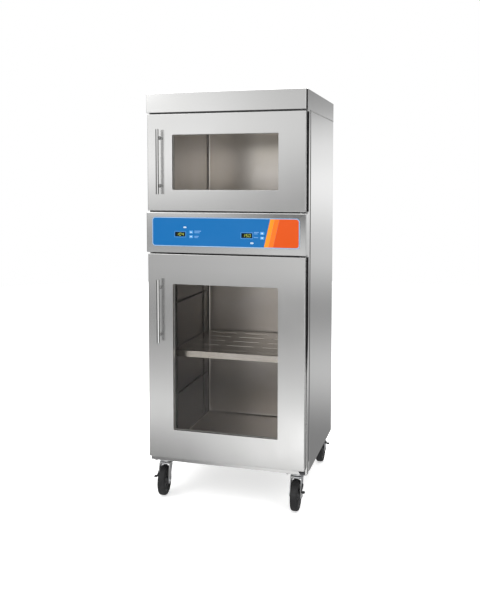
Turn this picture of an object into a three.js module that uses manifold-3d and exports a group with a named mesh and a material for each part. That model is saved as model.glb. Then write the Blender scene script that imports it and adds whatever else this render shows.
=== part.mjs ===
// Two-chamber warming cabinet on four braked swivel casters.
// Millimetres, +Z up, +X to the cabinet's right, +Y to its back.
// Drawn with y = 0 at the front plane of the hood, then moved so that the
// origin is on the floor, under the middle of the whole outline.

import * as THREE from 'three';
import { mergeVertices } from 'three/addons/utils/BufferGeometryUtils.js';
import Module from 'manifold-3d';

// ---------------------------------------------------------------- dimensions

const GAP = 0.3;                 // assembly gap between fixed neighbours
const SHEET = 1.2;               // stainless sheet

const Y_ORIGIN = 333.4;          // middle of the outline, front to back

const HOOD_HALF = 340;           // hood
const HOOD_DEPTH = 640;
const HOOD_Z0 = 1627;
const HOOD_Z1 = 1707;
const SOFFIT_Y = 38.3;

const BODY_HALF = 338.5;         // case
const BODY_Z0 = 155;
const BODY_TOP = 1703;
const FRAME_Y0 = 40;             // front frame
const FRAME_T = 2;
const FRAME_RETURN_Y = 73;
const SIDE_Y0 = 90;              // side panels start behind an open seam
const SIDE_Y1 = 638.4;
const BACK_Y0 = 638.7;

const CHAMBER_HALF = 262;        // chambers, inside faces
const CHAMBER_BACK = 585;
const UPPER_Z0 = 1255;
const UPPER_Z1 = 1590;
const LOWER_Z0 = 212;
const LOWER_Z1 = 1010;

const DOOR_HALF = 334;           // doors
const DOOR_Y0 = 6;
const DOOR_Y1 = 32;
const UPPER_DOOR = [1223, 1621];
const LOWER_DOOR = [181, 1044];
const WINDOW_HALF = 224;
const UPPER_WINDOW = [1309, 1536];
const LOWER_WINDOW = [302, 919];
const WINDOW_R = 5;
const GASKET_INSET = 12;
const GASKET_W = 12;

const HINGE_X = 320;             // vertical pivot axis of both doors
const HINGE_Y = 19;
const HINGE_PIN_R = 5;
const HINGE_HOLE_R = 5.6;

const HANDLE_X = -279;           // bar pulls
const HANDLE_Y = -22.5;
const HANDLE_R = 6.2;
const HANDLE_LEN = 266;
const HANDLE_CC = 197;
const UPPER_HANDLE_Z = 1425;
const LOWER_HANDLE_Z = 806;

const BEZEL_HALF = 338;          // control module
const BEZEL_Y0 = 2;
const BEZEL_Y1 = 39.6;
const BEZEL_Z = [1050, 1217];
const OVERLAY_HALF = 312.5;
const OVERLAY_Z = [1077, 1198];
const OVERLAY_R = 14;
const OVERLAY_Y = [0.8, 1.7];
const DISPLAYS = { left: [-211, -167, 1118.5, 1136.5], right: [73.5, 118.5, 1117.5, 1136.5] };
const ARROW_X = { left: -141, right: 160 };
const ARROW_SIZE = [17, 12];
const ARROW_UP_Z = 1137;
const ARROW_DOWN_Z = 1118;
const POWER_KEY = { left: [-168, 1156], right: [117.5, 1097] };
const POWER_SIZE = [13, 6.6];
const KEY_Y = [0.2, 7.6];
const BOARD_Y = [9, 10.6];

const SHELF_HALF = 255.5;        // shelf in the lower chamber
const SHELF_Y = [95, 572];
const SHELF_TOP = 622;
const SHELF_LIP = 26;
const RUNNER_IN = 250;
const RUNNER_TOPS = [420.2, 620.2, 820.2];

const CASTER_X = 289;            // casters
const CASTER_FRONT_Y = 82;
const CASTER_BACK_Y = 607;
const CASTER_TRAIL = 26;
const CASTER_TURN = { front_left: 0.10, front_right: 0.03 };   // resting swivel angles, radians
const WHEEL_R = 62.5;            // to the flat of the lowest facet
const WHEEL_HALF_W = 16;
const WHEEL_SIDES = 24;
const PLATE_Z = [150.7, 154.7];
const LEG_IN = 20.5;
const LEG_OUT = 24;

// ----------------------------------------------------------------- materials

const finish = (color, roughness, metalness) => new THREE.MeshStandardMaterial({ color, roughness, metalness });
const SATIN = [0xc9c8c4, 0.34, 1.0];
const LINER = [0xb9b5ad, 0.42, 1.0];
const ZINC = [0xb6b7b6, 0.35, 1.0];
const BLACK = [0x161616, 0.6, 0.0];
const RUBBER = [0x121212, 0.85, 0.0];
const GLASS = [0xdfe8e6, 0.05, 0.0];
const WOOL = [0xd9cf9a, 0.95, 0.0];
const BLUE = [0x1b73b9, 0.4, 0.0];
const KEYBLUE = [0x5aa0d8, 0.4, 0.0];
const LED = [0x0a0d08, 0.2, 0.0];
const GREEN = [0x1c5a34, 0.6, 0.0];
const FOIL = [0xc4bfb2, 0.3, 0.9];

// ------------------------------------------------------------------- helpers

const wasm = await Module();
wasm.setup();

// Closed solid from a geometry: shared corners merged, faces turned outwards.
function solid(source) {
  const g = source.clone();
  g.deleteAttribute('normal');
  g.deleteAttribute('uv');
  const m = mergeVertices(g, 1e-3);
  const p = m.attributes.position.array;
  const raw = m.index.array;
  const tri = [];
  let vol = 0;
  for (let i = 0; i < raw.length; i += 3) {
    const a = raw[i], b = raw[i + 1], c = raw[i + 2];
    if (a === b || b === c || c === a) continue;
    tri.push(a, b, c);
    vol += p[3 * a] * (p[3 * b + 1] * p[3 * c + 2] - p[3 * b + 2] * p[3 * c + 1])
      - p[3 * a + 1] * (p[3 * b] * p[3 * c + 2] - p[3 * b + 2] * p[3 * c])
      + p[3 * a + 2] * (p[3 * b] * p[3 * c + 1] - p[3 * b + 1] * p[3 * c]);
  }
  if (vol < 0) for (let i = 0; i < tri.length; i += 3) [tri[i + 1], tri[i + 2]] = [tri[i + 2], tri[i + 1]];
  return new wasm.Manifold(new wasm.Mesh({
    numProp: 3, vertProperties: new Float32Array(p), triVerts: new Uint32Array(tri),
  }));
}

const join = (first, ...rest) => rest.reduce((a, b) => a.add(b), first);
const cut = (first, ...rest) => rest.reduce((a, b) => a.subtract(b), first);

function shape3(manifold) {
  const mesh = manifold.getMesh();
  const g = new THREE.BufferGeometry();
  g.setAttribute('position', new THREE.BufferAttribute(new Float32Array(mesh.vertProperties), 3));
  g.setIndex(new THREE.BufferAttribute(new Uint32Array(mesh.triVerts), 1));
  g.computeVertexNormals();
  return g;
}

function box(x0, x1, y0, y1, z0, z1) {
  const g = new THREE.BoxGeometry(x1 - x0, y1 - y0, z1 - z0);
  g.translate((x0 + x1) / 2, (y0 + y1) / 2, (z0 + z1) / 2);
  return solid(g);
}

// Outline with corners rounded to r, in any plane.
function rounded(a0, a1, b0, b1, r, Type = THREE.Shape) {
  const s = new Type();
  s.moveTo(a0 + r, b0);
  s.lineTo(a1 - r, b0);
  s.absarc(a1 - r, b0 + r, r, -Math.PI / 2, 0, false);
  s.lineTo(a1, b1 - r);
  s.absarc(a1 - r, b1 - r, r, 0, Math.PI / 2, false);
  s.lineTo(a0 + r, b1);
  s.absarc(a0 + r, b1 - r, r, Math.PI / 2, Math.PI, false);
  s.lineTo(a0, b0 + r);
  s.absarc(a0 + r, b0 + r, r, Math.PI, 1.5 * Math.PI, false);
  return s;
}

function outline(points, Type = THREE.Shape) {
  const s = new Type();
  points.forEach(([a, b], i) => (i ? s.lineTo(a, b) : s.moveTo(a, b)));
  s.closePath();
  return s;
}

// Long hole along the first axis with pointed-off ends, half-width h.
const slot = (a0, a1, b, h) => outline([[a0, b], [a0 + h, b - h], [a1 - h, b - h], [a1, b], [a1 - h, b + h], [a0 + h, b + h]], THREE.Path);

const flat = (s, depth, curveSegments) => new THREE.ExtrudeGeometry(s, { depth, bevelEnabled: false, curveSegments });

// Outline in (x, z), thickness from y0 to y1.
function wallXZ(s, y0, y1, seg = 4) {
  const g = flat(s, y1 - y0, seg);
  g.rotateX(Math.PI / 2);
  g.translate(0, y1, 0);
  return solid(g);
}

// Outline in (x, y), thickness from z0 to z1.
function slabXY(s, z0, z1, seg = 4) {
  const g = flat(s, z1 - z0, seg);
  g.translate(0, 0, z0);
  return solid(g);
}

// Outline in (y, z), thickness from x0 to x1.
function wallYZ(s, x0, x1, seg = 4) {
  const g = flat(s, x1 - x0, seg);
  g.applyMatrix4(new THREE.Matrix4().makeBasis(
    new THREE.Vector3(0, 1, 0), new THREE.Vector3(0, 0, 1), new THREE.Vector3(1, 0, 0)));
  g.translate(x0, 0, 0);
  return solid(g);
}

// Round bars along each axis.
function rodX(r, x0, x1, y, z, n = 16) {
  const g = new THREE.CylinderGeometry(r, r, x1 - x0, n);
  g.rotateZ(Math.PI / 2);
  g.translate((x0 + x1) / 2, y, z);
  return solid(g);
}
function rodY(r, y0, y1, x, z, n = 16) {
  const g = new THREE.CylinderGeometry(r, r, y1 - y0, n);
  g.translate(x, (y0 + y1) / 2, z);
  return solid(g);
}
function rodZ(r, z0, z1, x, y, n = 16) {
  const g = new THREE.CylinderGeometry(r, r, z1 - z0, n);
  g.rotateX(Math.PI / 2);
  g.translate(x, y, (z0 + z1) / 2);
  return solid(g);
}

// Turned piece about a vertical axis, profile points are [radius, z].
function turnedZ(points, x, y, n = 16) {
  const g = new THREE.LatheGeometry(points.map(([r, z]) => new THREE.Vector2(r, z)), n);
  g.rotateX(Math.PI / 2);
  g.translate(x, y, 0);
  return solid(g);
}

// ------------------------------------------------------------- scene graph

const cabinet = new THREE.Group();
cabinet.position.set(0, -Y_ORIGIN, 0);

function piece(name, manifold, look, parent = cabinet) {
  const mesh = new THREE.Mesh(shape3(manifold), finish(...look));
  mesh.name = name;
  parent.add(mesh);
  return mesh;
}

// --------------------------------------------------------------------- case

// Hood: a folded lid with a closed soffit over the doors.
piece('top_hood', cut(
  box(-HOOD_HALF, HOOD_HALF, 0, HOOD_DEPTH, HOOD_Z0, HOOD_Z1),
  box(-HOOD_HALF + SHEET, HOOD_HALF - SHEET, SHEET, HOOD_DEPTH - SHEET, HOOD_Z0 + SHEET, HOOD_Z1 - SHEET),
  box(-HOOD_HALF + SHEET, HOOD_HALF - SHEET, SOFFIT_Y, HOOD_DEPTH - SHEET, HOOD_Z0 - 5, HOOD_Z0 + 5),
), SATIN);

// Side panels: flat sheets with returns along the front and back edges.
for (const [name, s] of [['left_side_panel', -1], ['right_side_panel', 1]]) {
  const x = (a, b) => (s > 0 ? [a, b] : [-b, -a]);
  piece(name, join(
    box(...x(BODY_HALF - 1.5, BODY_HALF), SIDE_Y0, SIDE_Y1, BODY_Z0, BODY_TOP),
    box(...x(BODY_HALF - 16, BODY_HALF - 1), SIDE_Y0, SIDE_Y0 + 1.5, 199, BODY_TOP),
    box(...x(BODY_HALF - 16, BODY_HALF - 1), SIDE_Y1 - 1.5, SIDE_Y1, 199, BODY_TOP),
  ), SATIN);
}

// Back panel with the inlet cut-out and two rows of cooling slots.
{
  const s = outline([[-338.2, BODY_Z0], [338.2, BODY_Z0], [338.2, HOOD_Z0 - 0.4], [-338.2, HOOD_Z0 - 0.4]]);
  s.holes.push(outline([[-224, 1094], [-176, 1094], [-176, 1122], [-224, 1122]], THREE.Path));
  for (let i = 0; i < 6; i++) {
    const z = 1080 + i * 16;
    s.holes.push(slot(60, 200, z, 3));
  }
  piece('back_panel', wallXZ(s, BACK_Y0, HOOD_DEPTH), SATIN);
}

// Base frame: a deep tray of thick plate that carries the casters.
piece('base_frame', cut(
  box(-336.2, 336.2, FRAME_Y0 + FRAME_T + GAP, 636.4, BODY_Z0, 197),
  box(-334.2, 334.2, FRAME_Y0 + FRAME_T + GAP + 2, 634.4, BODY_Z0 + 3, 205),
), ZINC);

// Front frame: a sheet face with both chamber mouths and the control opening.
{
  const s = outline([[-BODY_HALF, BODY_Z0], [BODY_HALF, BODY_Z0], [BODY_HALF, BODY_TOP], [-BODY_HALF, BODY_TOP]]);
  const mouth = (h, z0, z1) => s.holes.push(outline([[-h, z0], [h, z0], [h, z1], [-h, z1]], THREE.Path));
  mouth(CHAMBER_HALF, LOWER_Z0, LOWER_Z1);
  mouth(290, 1066, 1206);
  mouth(CHAMBER_HALF, UPPER_Z0, UPPER_Z1);
  piece('front_frame', join(
    wallXZ(s, FRAME_Y0, FRAME_Y0 + FRAME_T),
    box(-BODY_HALF, -BODY_HALF + 2, FRAME_Y0 + 1, FRAME_RETURN_Y, BODY_Z0, BODY_TOP),
    box(BODY_HALF - 2, BODY_HALF, FRAME_Y0 + 1, FRAME_RETURN_Y, BODY_Z0, BODY_TOP),
  ), SATIN);
}

// Chamber liners: five-sided boxes, open to the front.
const LINER_Y0 = FRAME_Y0 + FRAME_T + GAP;
for (const [name, z0, z1] of [['upper_liner', UPPER_Z0, UPPER_Z1], ['lower_liner', LOWER_Z0, LOWER_Z1]]) {
  piece(name, cut(
    box(-CHAMBER_HALF - SHEET, CHAMBER_HALF + SHEET, LINER_Y0, CHAMBER_BACK + SHEET, z0 - SHEET, z1 + SHEET),
    box(-CHAMBER_HALF, CHAMBER_HALF, LINER_Y0 - 5, CHAMBER_BACK, z0, z1),
  ), LINER);
}

// Insulation jacket round the sides, back and top of the chambers.
piece('insulation_jacket', join(
  slabXY(outline([[-290, 70], [-265, 70], [-265, 588], [265, 588], [265, 70], [290, 70], [290, 613], [-290, 613]]), 200, 1600),
  box(-290, 290, 70, 613, 1593, 1618),
), WOOL);

// Heater mats under the chamber floors, temperature probes on the back walls.
for (const [name, z] of [['upper_heater', UPPER_Z0], ['lower_heater', LOWER_Z0]]) {
  piece(name, slabXY(rounded(-220, 220, 120, 540, 20), z - 5.5, z - SHEET - GAP, 2), FOIL);
}
for (const [name, z] of [['upper_probe', UPPER_Z1 - 30], ['lower_probe', LOWER_Z1 - 30]]) {
  piece(name, join(
    rodY(9, CHAMBER_BACK - 4, CHAMBER_BACK - GAP, 190, z, 12),
    rodY(3, CHAMBER_BACK - 12, CHAMBER_BACK - 3, 190, z, 10),
  ), ZINC);
}

// -------------------------------------------------------------------- shelf

{
  const s = outline([[-SHELF_HALF, SHELF_Y[0]], [SHELF_HALF, SHELF_Y[0]], [SHELF_HALF, SHELF_Y[1]], [-SHELF_HALF, SHELF_Y[1]]]);
  for (let i = 0; i < 3; i++) {
    for (let j = 0; j < 5; j++) {
      const x = -160 + i * 160, y = 145 + j * 94;
      s.holes.push(slot(x - 60, x + 60, y, 6));
    }
  }
  piece('shelf', join(
    slabXY(s, SHELF_TOP - 1.5, SHELF_TOP),
    box(-SHELF_HALF, SHELF_HALF, SHELF_Y[0], SHELF_Y[0] + 1.5, SHELF_TOP - SHELF_LIP, SHELF_TOP - 1),
    box(-SHELF_HALF, SHELF_HALF, SHELF_Y[1] - 1.5, SHELF_Y[1], SHELF_TOP - SHELF_LIP, SHELF_TOP - 1),
  ), LINER);
}
for (const [name, s] of [['left_shelf_rack', -1], ['right_shelf_rack', 1]]) {
  const x = (a, b) => (s > 0 ? [a, b] : [-b, -a]);
  piece(name, join(
    box(...x(256, CHAMBER_HALF - GAP), 140, 156, 226, 996),
    box(...x(256, CHAMBER_HALF - GAP), 500, 516, 226, 996),
    ...RUNNER_TOPS.map((z) => box(...x(RUNNER_IN, CHAMBER_HALF - GAP - 0.4), 128, 545, z - 2, z)),
  ), LINER);
}

// ------------------------------------------------------------------ control

piece('control_bezel', cut(
  box(-BEZEL_HALF, BEZEL_HALF, BEZEL_Y0, BEZEL_Y1, ...BEZEL_Z),
  box(-BEZEL_HALF + 1.5, BEZEL_HALF - 1.5, BEZEL_Y0 + 1.5, 70, BEZEL_Z[0] + 1.5, BEZEL_Z[1] - 1.5),
  box(-218, -126, 0, 10, 1108, 1166),
  box(66, 176, 0, 10, 1088, 1148),
), SATIN);

{
  const s = rounded(-OVERLAY_HALF, OVERLAY_HALF, ...OVERLAY_Z, OVERLAY_R);
  for (const side of ['left', 'right']) {
    const [a0, a1, b0, b1] = DISPLAYS[side];
    s.holes.push(outline([[a0, b0], [a1, b0], [a1, b1], [a0, b1]], THREE.Path));
    for (const z of [ARROW_UP_Z, ARROW_DOWN_Z]) {
      s.holes.push(rounded(ARROW_X[side] - ARROW_SIZE[0] / 2 - 0.5, ARROW_X[side] + ARROW_SIZE[0] / 2 + 0.5,
        z - ARROW_SIZE[1] / 2 - 0.5, z + ARROW_SIZE[1] / 2 + 0.5, 3, THREE.Path));
    }
    const [px, pz] = POWER_KEY[side];
    s.holes.push(rounded(px - POWER_SIZE[0] / 2 - 0.5, px + POWER_SIZE[0] / 2 + 0.5,
      pz - POWER_SIZE[1] / 2 - 0.5, pz + POWER_SIZE[1] / 2 + 0.5, POWER_SIZE[1] / 2, THREE.Path));
  }
  piece('control_overlay', wallXZ(s, ...OVERLAY_Y, 2), BLUE);
}

for (const side of ['left', 'right']) {
  const [a0, a1, b0, b1] = DISPLAYS[side];
  piece(`${side}_display`, box(a0 + GAP, a1 - GAP, 1.1, BOARD_Y[0] - GAP, b0 + GAP, b1 - GAP), LED);
  const arrow = (z) => wallXZ(rounded(ARROW_X[side] - ARROW_SIZE[0] / 2, ARROW_X[side] + ARROW_SIZE[0] / 2,
    z - ARROW_SIZE[1] / 2, z + ARROW_SIZE[1] / 2, 2.5), ...KEY_Y, 3);
  piece(`${side}_up_key`, arrow(ARROW_UP_Z), KEYBLUE);
  piece(`${side}_down_key`, arrow(ARROW_DOWN_Z), KEYBLUE);
  const [px, pz] = POWER_KEY[side];
  piece(`${side}_power_key`, wallXZ(rounded(px - POWER_SIZE[0] / 2, px + POWER_SIZE[0] / 2,
    pz - POWER_SIZE[1] / 2, pz + POWER_SIZE[1] / 2, POWER_SIZE[1] / 2 - 0.1), ...KEY_Y, 4), KEYBLUE);
}

// Board behind the overlay, with its transformer, relays and terminal block.
piece('control_board', join(
  box(-226, 186, ...BOARD_Y, 1086, 1168),
  box(-70, -14, 10.4, 50, 1096, 1150),
  box(-110, -84, 10.4, 30, 1100, 1128),
  box(10, 36, 10.4, 30, 1100, 1128),
  box(50, 150, 10.4, 24, 1152, 1166),
), GREEN);

// Mains inlet: flanged socket let into the back panel.
piece('power_inlet', cut(
  join(box(-228, -172, HOOD_DEPTH + GAP, 643.3, 1090, 1126), box(-222.5, -177.5, 615, HOOD_DEPTH + 1, 1095.5, 1120.5)),
  box(-218, -182, 624, 650, 1100, 1116),
), BLACK);

// -------------------------------------------------------------------- doors

function windowCut(h, [z0, z1], grow, y0, y1) {
  return wallXZ(rounded(-h - grow, h + grow, z0 - grow, z1 + grow, WINDOW_R + grow), y0, y1, 3);
}

function door(name, [z0, z1], win, handleZ) {
  // Shell: front skin with four returns, window cut-out, pin holes in the top and bottom.
  piece(`${name}_shell`, cut(
    box(-DOOR_HALF, DOOR_HALF, DOOR_Y0, DOOR_Y1, z0, z1),
    box(-DOOR_HALF + SHEET, DOOR_HALF - SHEET, DOOR_Y0 + SHEET, DOOR_Y1 + 5, z0 + SHEET, z1 - SHEET),
    windowCut(WINDOW_HALF, win, 0, DOOR_Y0 - 2, DOOR_Y0 + 3),
    rodZ(HINGE_HOLE_R, z0 - 2, z1 + 2, HINGE_X, HINGE_Y),
  ), SATIN);
  // Inner panel: back sheet with a reveal running forwards round the window.
  piece(`${name}_inner_panel`, cut(
    join(
      box(-DOOR_HALF + 1.6, DOOR_HALF - 1.6, DOOR_Y1 - SHEET, DOOR_Y1, z0 + 1.6, z1 - 1.6),
      windowCut(WINDOW_HALF, win, 2, 13.8, DOOR_Y1 - 0.4),
    ),
    windowCut(WINDOW_HALF, win, 0.4, 10, DOOR_Y1 + 3),
  ), LINER);
  // Panes: the outer one behind the skin, the inner one inside the reveal.
  piece(`${name}_outer_glass`, box(-WINDOW_HALF - 14, WINDOW_HALF + 14, 7.6, 12.6, win[0] - 14, win[1] + 14), GLASS);
  piece(`${name}_inner_glass`, windowCut(WINDOW_HALF, win, -0.2, 24, 28), GLASS);
  // Gasket ring on the inner face, clear of the pivot side.
  const gx0 = -DOOR_HALF + GASKET_INSET, gx1 = HINGE_X - 6;
  piece(`${name}_gasket`, cut(
    box(gx0, gx1, DOOR_Y1 + GAP, FRAME_Y0 - GAP, z0 + GASKET_INSET, z1 - GASKET_INSET),
    box(gx0 + GASKET_W, gx1 - GASKET_W, DOOR_Y1 - 5, FRAME_Y0 + 5,
      z0 + GASKET_INSET + GASKET_W, z1 - GASKET_INSET - GASKET_W),
  ), RUBBER);
  // Bar pull: eased bar on two posts with small roses.
  const h = HANDLE_LEN / 2;
  piece(`${name}_handle`, join(
    turnedZ([[0, handleZ - h], [HANDLE_R - 1.6, handleZ - h], [HANDLE_R, handleZ - h + 1.6],
      [HANDLE_R, handleZ + h - 1.6], [HANDLE_R - 1.6, handleZ + h], [0, handleZ + h]], HANDLE_X, HANDLE_Y),
    ...[-1, 1].flatMap((s) => [
      rodY(5.6, HANDLE_Y, DOOR_Y0 - GAP, HANDLE_X, handleZ + s * HANDLE_CC / 2, 12),
      rodY(7.5, DOOR_Y0 - 3, DOOR_Y0 - GAP, HANDLE_X, handleZ + s * HANDLE_CC / 2, 12),
    ]),
  ), SATIN);
}

door('upper_door', UPPER_DOOR, UPPER_WINDOW, UPPER_HANDLE_Z);
door('lower_door', LOWER_DOOR, LOWER_WINDOW, LOWER_HANDLE_Z);

// Pivot hinges: a round-nosed bracket fixed to the front frame, with its pin.
function bracket(z0, z1, pin0, pin1) {
  const s = new THREE.Shape();
  s.moveTo(HINGE_X - 11, FRAME_Y0 - GAP);
  s.lineTo(HINGE_X - 11, HINGE_Y);
  s.absarc(HINGE_X, HINGE_Y, 11, Math.PI, 2 * Math.PI, false);
  s.lineTo(HINGE_X + 11, FRAME_Y0 - GAP);
  s.closePath();
  return join(slabXY(s, z0, z1, 5), rodZ(HINGE_PIN_R, pin0, pin1, HINGE_X, HINGE_Y));
}
piece('upper_door_top_hinge', bracket(1622.6, 1625.2, 1611, 1623), ZINC);
piece('upper_door_bottom_hinge', bracket(1218.6, 1221.2, 1221, 1233), ZINC);
piece('lower_door_top_hinge', bracket(1045.8, 1048.4, 1034, 1046), ZINC);
piece('lower_door_bottom_hinge', join(
  bracket(174, 178, 177.8, 191),
  box(HINGE_X - 11, HINGE_X + 11, FRAME_Y0 - GAP - 3.5, FRAME_Y0 - GAP, 157, 176),
), ZINC);

// ------------------------------------------------------------------ casters

// Local frame: pivot axis at x = y = 0, wheel trailing towards -y,
// brake lever on the side given by s.
function caster(name, x, y, turn, s) {
  const g = new THREE.Group();
  g.position.set(x, y, 0);
  g.rotation.z = turn;
  cabinet.add(g);
  const axleY = -CASTER_TRAIL, axleZ = WHEEL_R;
  const side = (a, b) => (s > 0 ? [a, b] : [-b, -a]);

  // Top plate, upper race and king pin.
  const holes = [];
  for (const hx of [-36, 36]) for (const hy of [-23, 23]) holes.push(rodZ(4.5, 140, 160, hx, hy, 8));
  piece(`${name}_caster_plate`, join(
    cut(slabXY(rounded(-46, 46, -33, 33, 6), ...PLATE_Z, 2), ...holes),
    turnedZ([[0, 126.4], [11, 126.4], [11, 127.7], [7.5, 127.7], [7.5, 137.5], [22, 137.5], [25, 142], [25, 150.9], [0, 150.9]], 0, 0),
  ), ZINC, g);

  // Fork: crown ring, two raked legs, riveted axle and the lever's stud.
  const leg = () => outline([[22, 136], [-26, 136], [-41, 78], [-40, 55], [-26, 47], [-12, 55], [-10, 74], [19, 117]]);
  const crown = turnedZ([[8.2, 128], [25, 128], [27, 130], [27, 136.9], [8.2, 136.9], [8.2, 128]], 0, 0);
  piece(`${name}_fork`, join(
    crown,
    wallYZ(leg(), LEG_IN, LEG_OUT),
    wallYZ(leg(), -LEG_OUT, -LEG_IN),
    rodX(5.5, -LEG_OUT + 1, LEG_OUT - 1, axleY, axleZ, 12),
    rodX(7, LEG_OUT - 1, LEG_OUT + 4.5, axleY, axleZ, 6),
    rodX(7, -LEG_OUT - 4.5, -LEG_OUT + 1, axleY, axleZ, 6),
    rodX(3, ...side(LEG_OUT - 1, LEG_OUT + 4.6), -11, 100, 10),
  ), ZINC, g);

  // Wheel: hub, web and tyre in one turned ring.
  const R = WHEEL_R / Math.cos(Math.PI / WHEEL_SIDES);
  const w = WHEEL_HALF_W;
  const profile = [[6.3, -19], [15, -19], [17, -9], [42, -9], [45, -w + 1], [57, -w], [61, -w + 3], [R, -w + 8],
    [R, w - 8], [61, w - 3], [57, w], [45, w - 1], [42, 9], [17, 9], [15, 19], [6.3, 19], [6.3, -19]];
  const lathe = new THREE.LatheGeometry(profile.map(([r, a]) => new THREE.Vector2(r, a)), WHEEL_SIDES);
  lathe.rotateZ(Math.PI / 2);
  lathe.rotateX(Math.PI / WHEEL_SIDES);
  lathe.translate(0, axleY, axleZ);
  piece(`${name}_wheel`, solid(lathe), BLACK, g);

  // Brake lever: flat arm on the outer side, with a foot tab standing out.
  const arm = outline([[-5, 92], [-3, 100], [-7, 107], [-15, 107.5], [-43, 92], [-48, 88], [-48, 82], [-39, 82]]);
  piece(`${name}_brake`, cut(
    join(
      wallYZ(arm, ...side(LEG_OUT + 0.8, LEG_OUT + 3.6)),
      box(...side(LEG_OUT + 3, LEG_OUT + 16), -50, -34, 80, 86),
    ),
    rodX(3.4, ...side(LEG_OUT - 2, LEG_OUT + 8), -11, 100, 10),
  ), BLACK, g);
}

caster('front_left', -CASTER_X, CASTER_FRONT_Y, CASTER_TURN.front_left, -1);
caster('front_right', CASTER_X, CASTER_FRONT_Y, CASTER_TURN.front_right, 1);
caster('rear_left', -CASTER_X, CASTER_BACK_Y, Math.PI, 1);
caster('rear_right', CASTER_X, CASTER_BACK_Y, Math.PI, -1);

export default cabinet;
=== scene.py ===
import math

import bpy
import bmesh
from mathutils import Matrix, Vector
from mathutils.geometry import delaunay_2d_cdt


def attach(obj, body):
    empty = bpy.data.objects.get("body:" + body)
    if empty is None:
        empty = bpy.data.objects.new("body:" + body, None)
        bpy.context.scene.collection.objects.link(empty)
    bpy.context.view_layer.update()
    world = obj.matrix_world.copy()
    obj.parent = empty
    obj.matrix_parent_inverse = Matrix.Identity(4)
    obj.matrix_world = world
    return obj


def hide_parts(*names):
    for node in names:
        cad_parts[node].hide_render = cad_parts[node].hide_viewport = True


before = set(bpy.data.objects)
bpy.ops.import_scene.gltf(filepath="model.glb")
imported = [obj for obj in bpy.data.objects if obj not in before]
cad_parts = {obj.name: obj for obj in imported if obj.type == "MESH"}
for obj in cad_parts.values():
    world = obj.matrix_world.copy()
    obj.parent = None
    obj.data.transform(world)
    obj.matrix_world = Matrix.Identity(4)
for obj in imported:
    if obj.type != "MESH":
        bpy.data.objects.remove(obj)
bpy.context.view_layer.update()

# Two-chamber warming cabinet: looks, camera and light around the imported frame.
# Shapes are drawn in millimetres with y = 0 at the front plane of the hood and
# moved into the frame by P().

scene = bpy.context.scene
Y_ORIGIN = 333.4


def P(p):
    return (p[0] * 0.001, (p[1] - Y_ORIGIN) * 0.001, p[2] * 0.001)


# ------------------------------------------------------------------ outlines

def rrect(a0, a1, b0, b1, r, n=4):
    """Rounded rectangle, counter-clockwise, n steps per corner."""
    r = max(min(r, (a1 - a0) / 2 - 0.001, (b1 - b0) / 2 - 0.001), 0.02)
    out = []
    for ca, cb, t0 in ((a1 - r, b0 + r, -90), (a1 - r, b1 - r, 0), (a0 + r, b1 - r, 90), (a0 + r, b0 + r, 180)):
        for i in range(n + 1):
            t = math.radians(t0 + 90 * i / n)
            out.append((ca + r * math.cos(t), cb + r * math.sin(t)))
    return out


def circle(a, b, r, n=24, t0=0.0):
    return [(a + r * math.cos(t0 + 2 * math.pi * i / n), b + r * math.sin(t0 + 2 * math.pi * i / n)) for i in range(n)]


def fillet(pts, r, n=4, closed=True):
    """Rounds the corners of an outline; r is one radius or one per corner."""
    out = []
    count = len(pts)
    for i, p in enumerate(pts):
        rad = r[i] if isinstance(r, (list, tuple)) else r
        if (not closed and i in (0, count - 1)) or rad <= 0:
            out.append(tuple(p))
            continue
        a, b = pts[i - 1], pts[(i + 1) % count]
        va = Vector((a[0] - p[0], a[1] - p[1]))
        vb = Vector((b[0] - p[0], b[1] - p[1]))
        la, lb = va.length, vb.length
        va, vb = va / la, vb / lb
        ang = math.acos(max(-1.0, min(1.0, va.dot(vb))))
        if ang > math.pi - 1e-3 or ang < 1e-3:
            out.append(tuple(p))
            continue
        d = min(rad / math.tan(ang / 2), 0.49 * la, 0.49 * lb)
        rad = d * math.tan(ang / 2)
        mid = (va + vb).normalized()
        c = Vector(p[:2]) + mid * (rad / math.sin(ang / 2))
        s = Vector(p[:2]) + va * d - c
        e = Vector(p[:2]) + vb * d - c
        t0 = math.atan2(s.y, s.x)
        dt = math.atan2(e.y, e.x) - t0
        while dt > math.pi:
            dt -= 2 * math.pi
        while dt < -math.pi:
            dt += 2 * math.pi
        for k in range(n + 1):
            t = t0 + dt * k / n
            out.append((c.x + rad * math.cos(t), c.y + rad * math.sin(t)))
    return out


def strip(path, t, r, n=4):
    """Outline of a bent sheet: path is its outer side, the sheet lies to the left of it."""
    inner = []
    for i, p in enumerate(path):
        normals = []
        for a, b in ((i - 1, i), (i, i + 1)):
            if 0 <= a and b < len(path):
                d = Vector((path[b][0] - path[a][0], path[b][1] - path[a][1])).normalized()
                normals.append(Vector((-d.y, d.x)))
        if len(normals) == 1:
            off = normals[0] * t
        else:
            m = (normals[0] + normals[1]).normalized()
            off = m * (t / m.dot(normals[0]))
        inner.append((p[0] + off.x, p[1] + off.y))
    return fillet(path, r, n, False) + fillet(inner, max(r - t, 0.15), n, False)[::-1]


def inside(p, loop):
    hit = False
    for i in range(len(loop)):
        (x0, y0), (x1, y1) = loop[i - 1], loop[i]
        if (y0 > p[1]) != (y1 > p[1]) and p[0] < (x1 - x0) * (p[1] - y0) / (y1 - y0) + x0:
            hit = not hit
    return hit


def XZ(a, b, h):
    return (a, h, b)


def XY(a, b, h):
    return (a, b, h)


def YZ(a, b, h):
    return (h, a, b)


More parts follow.
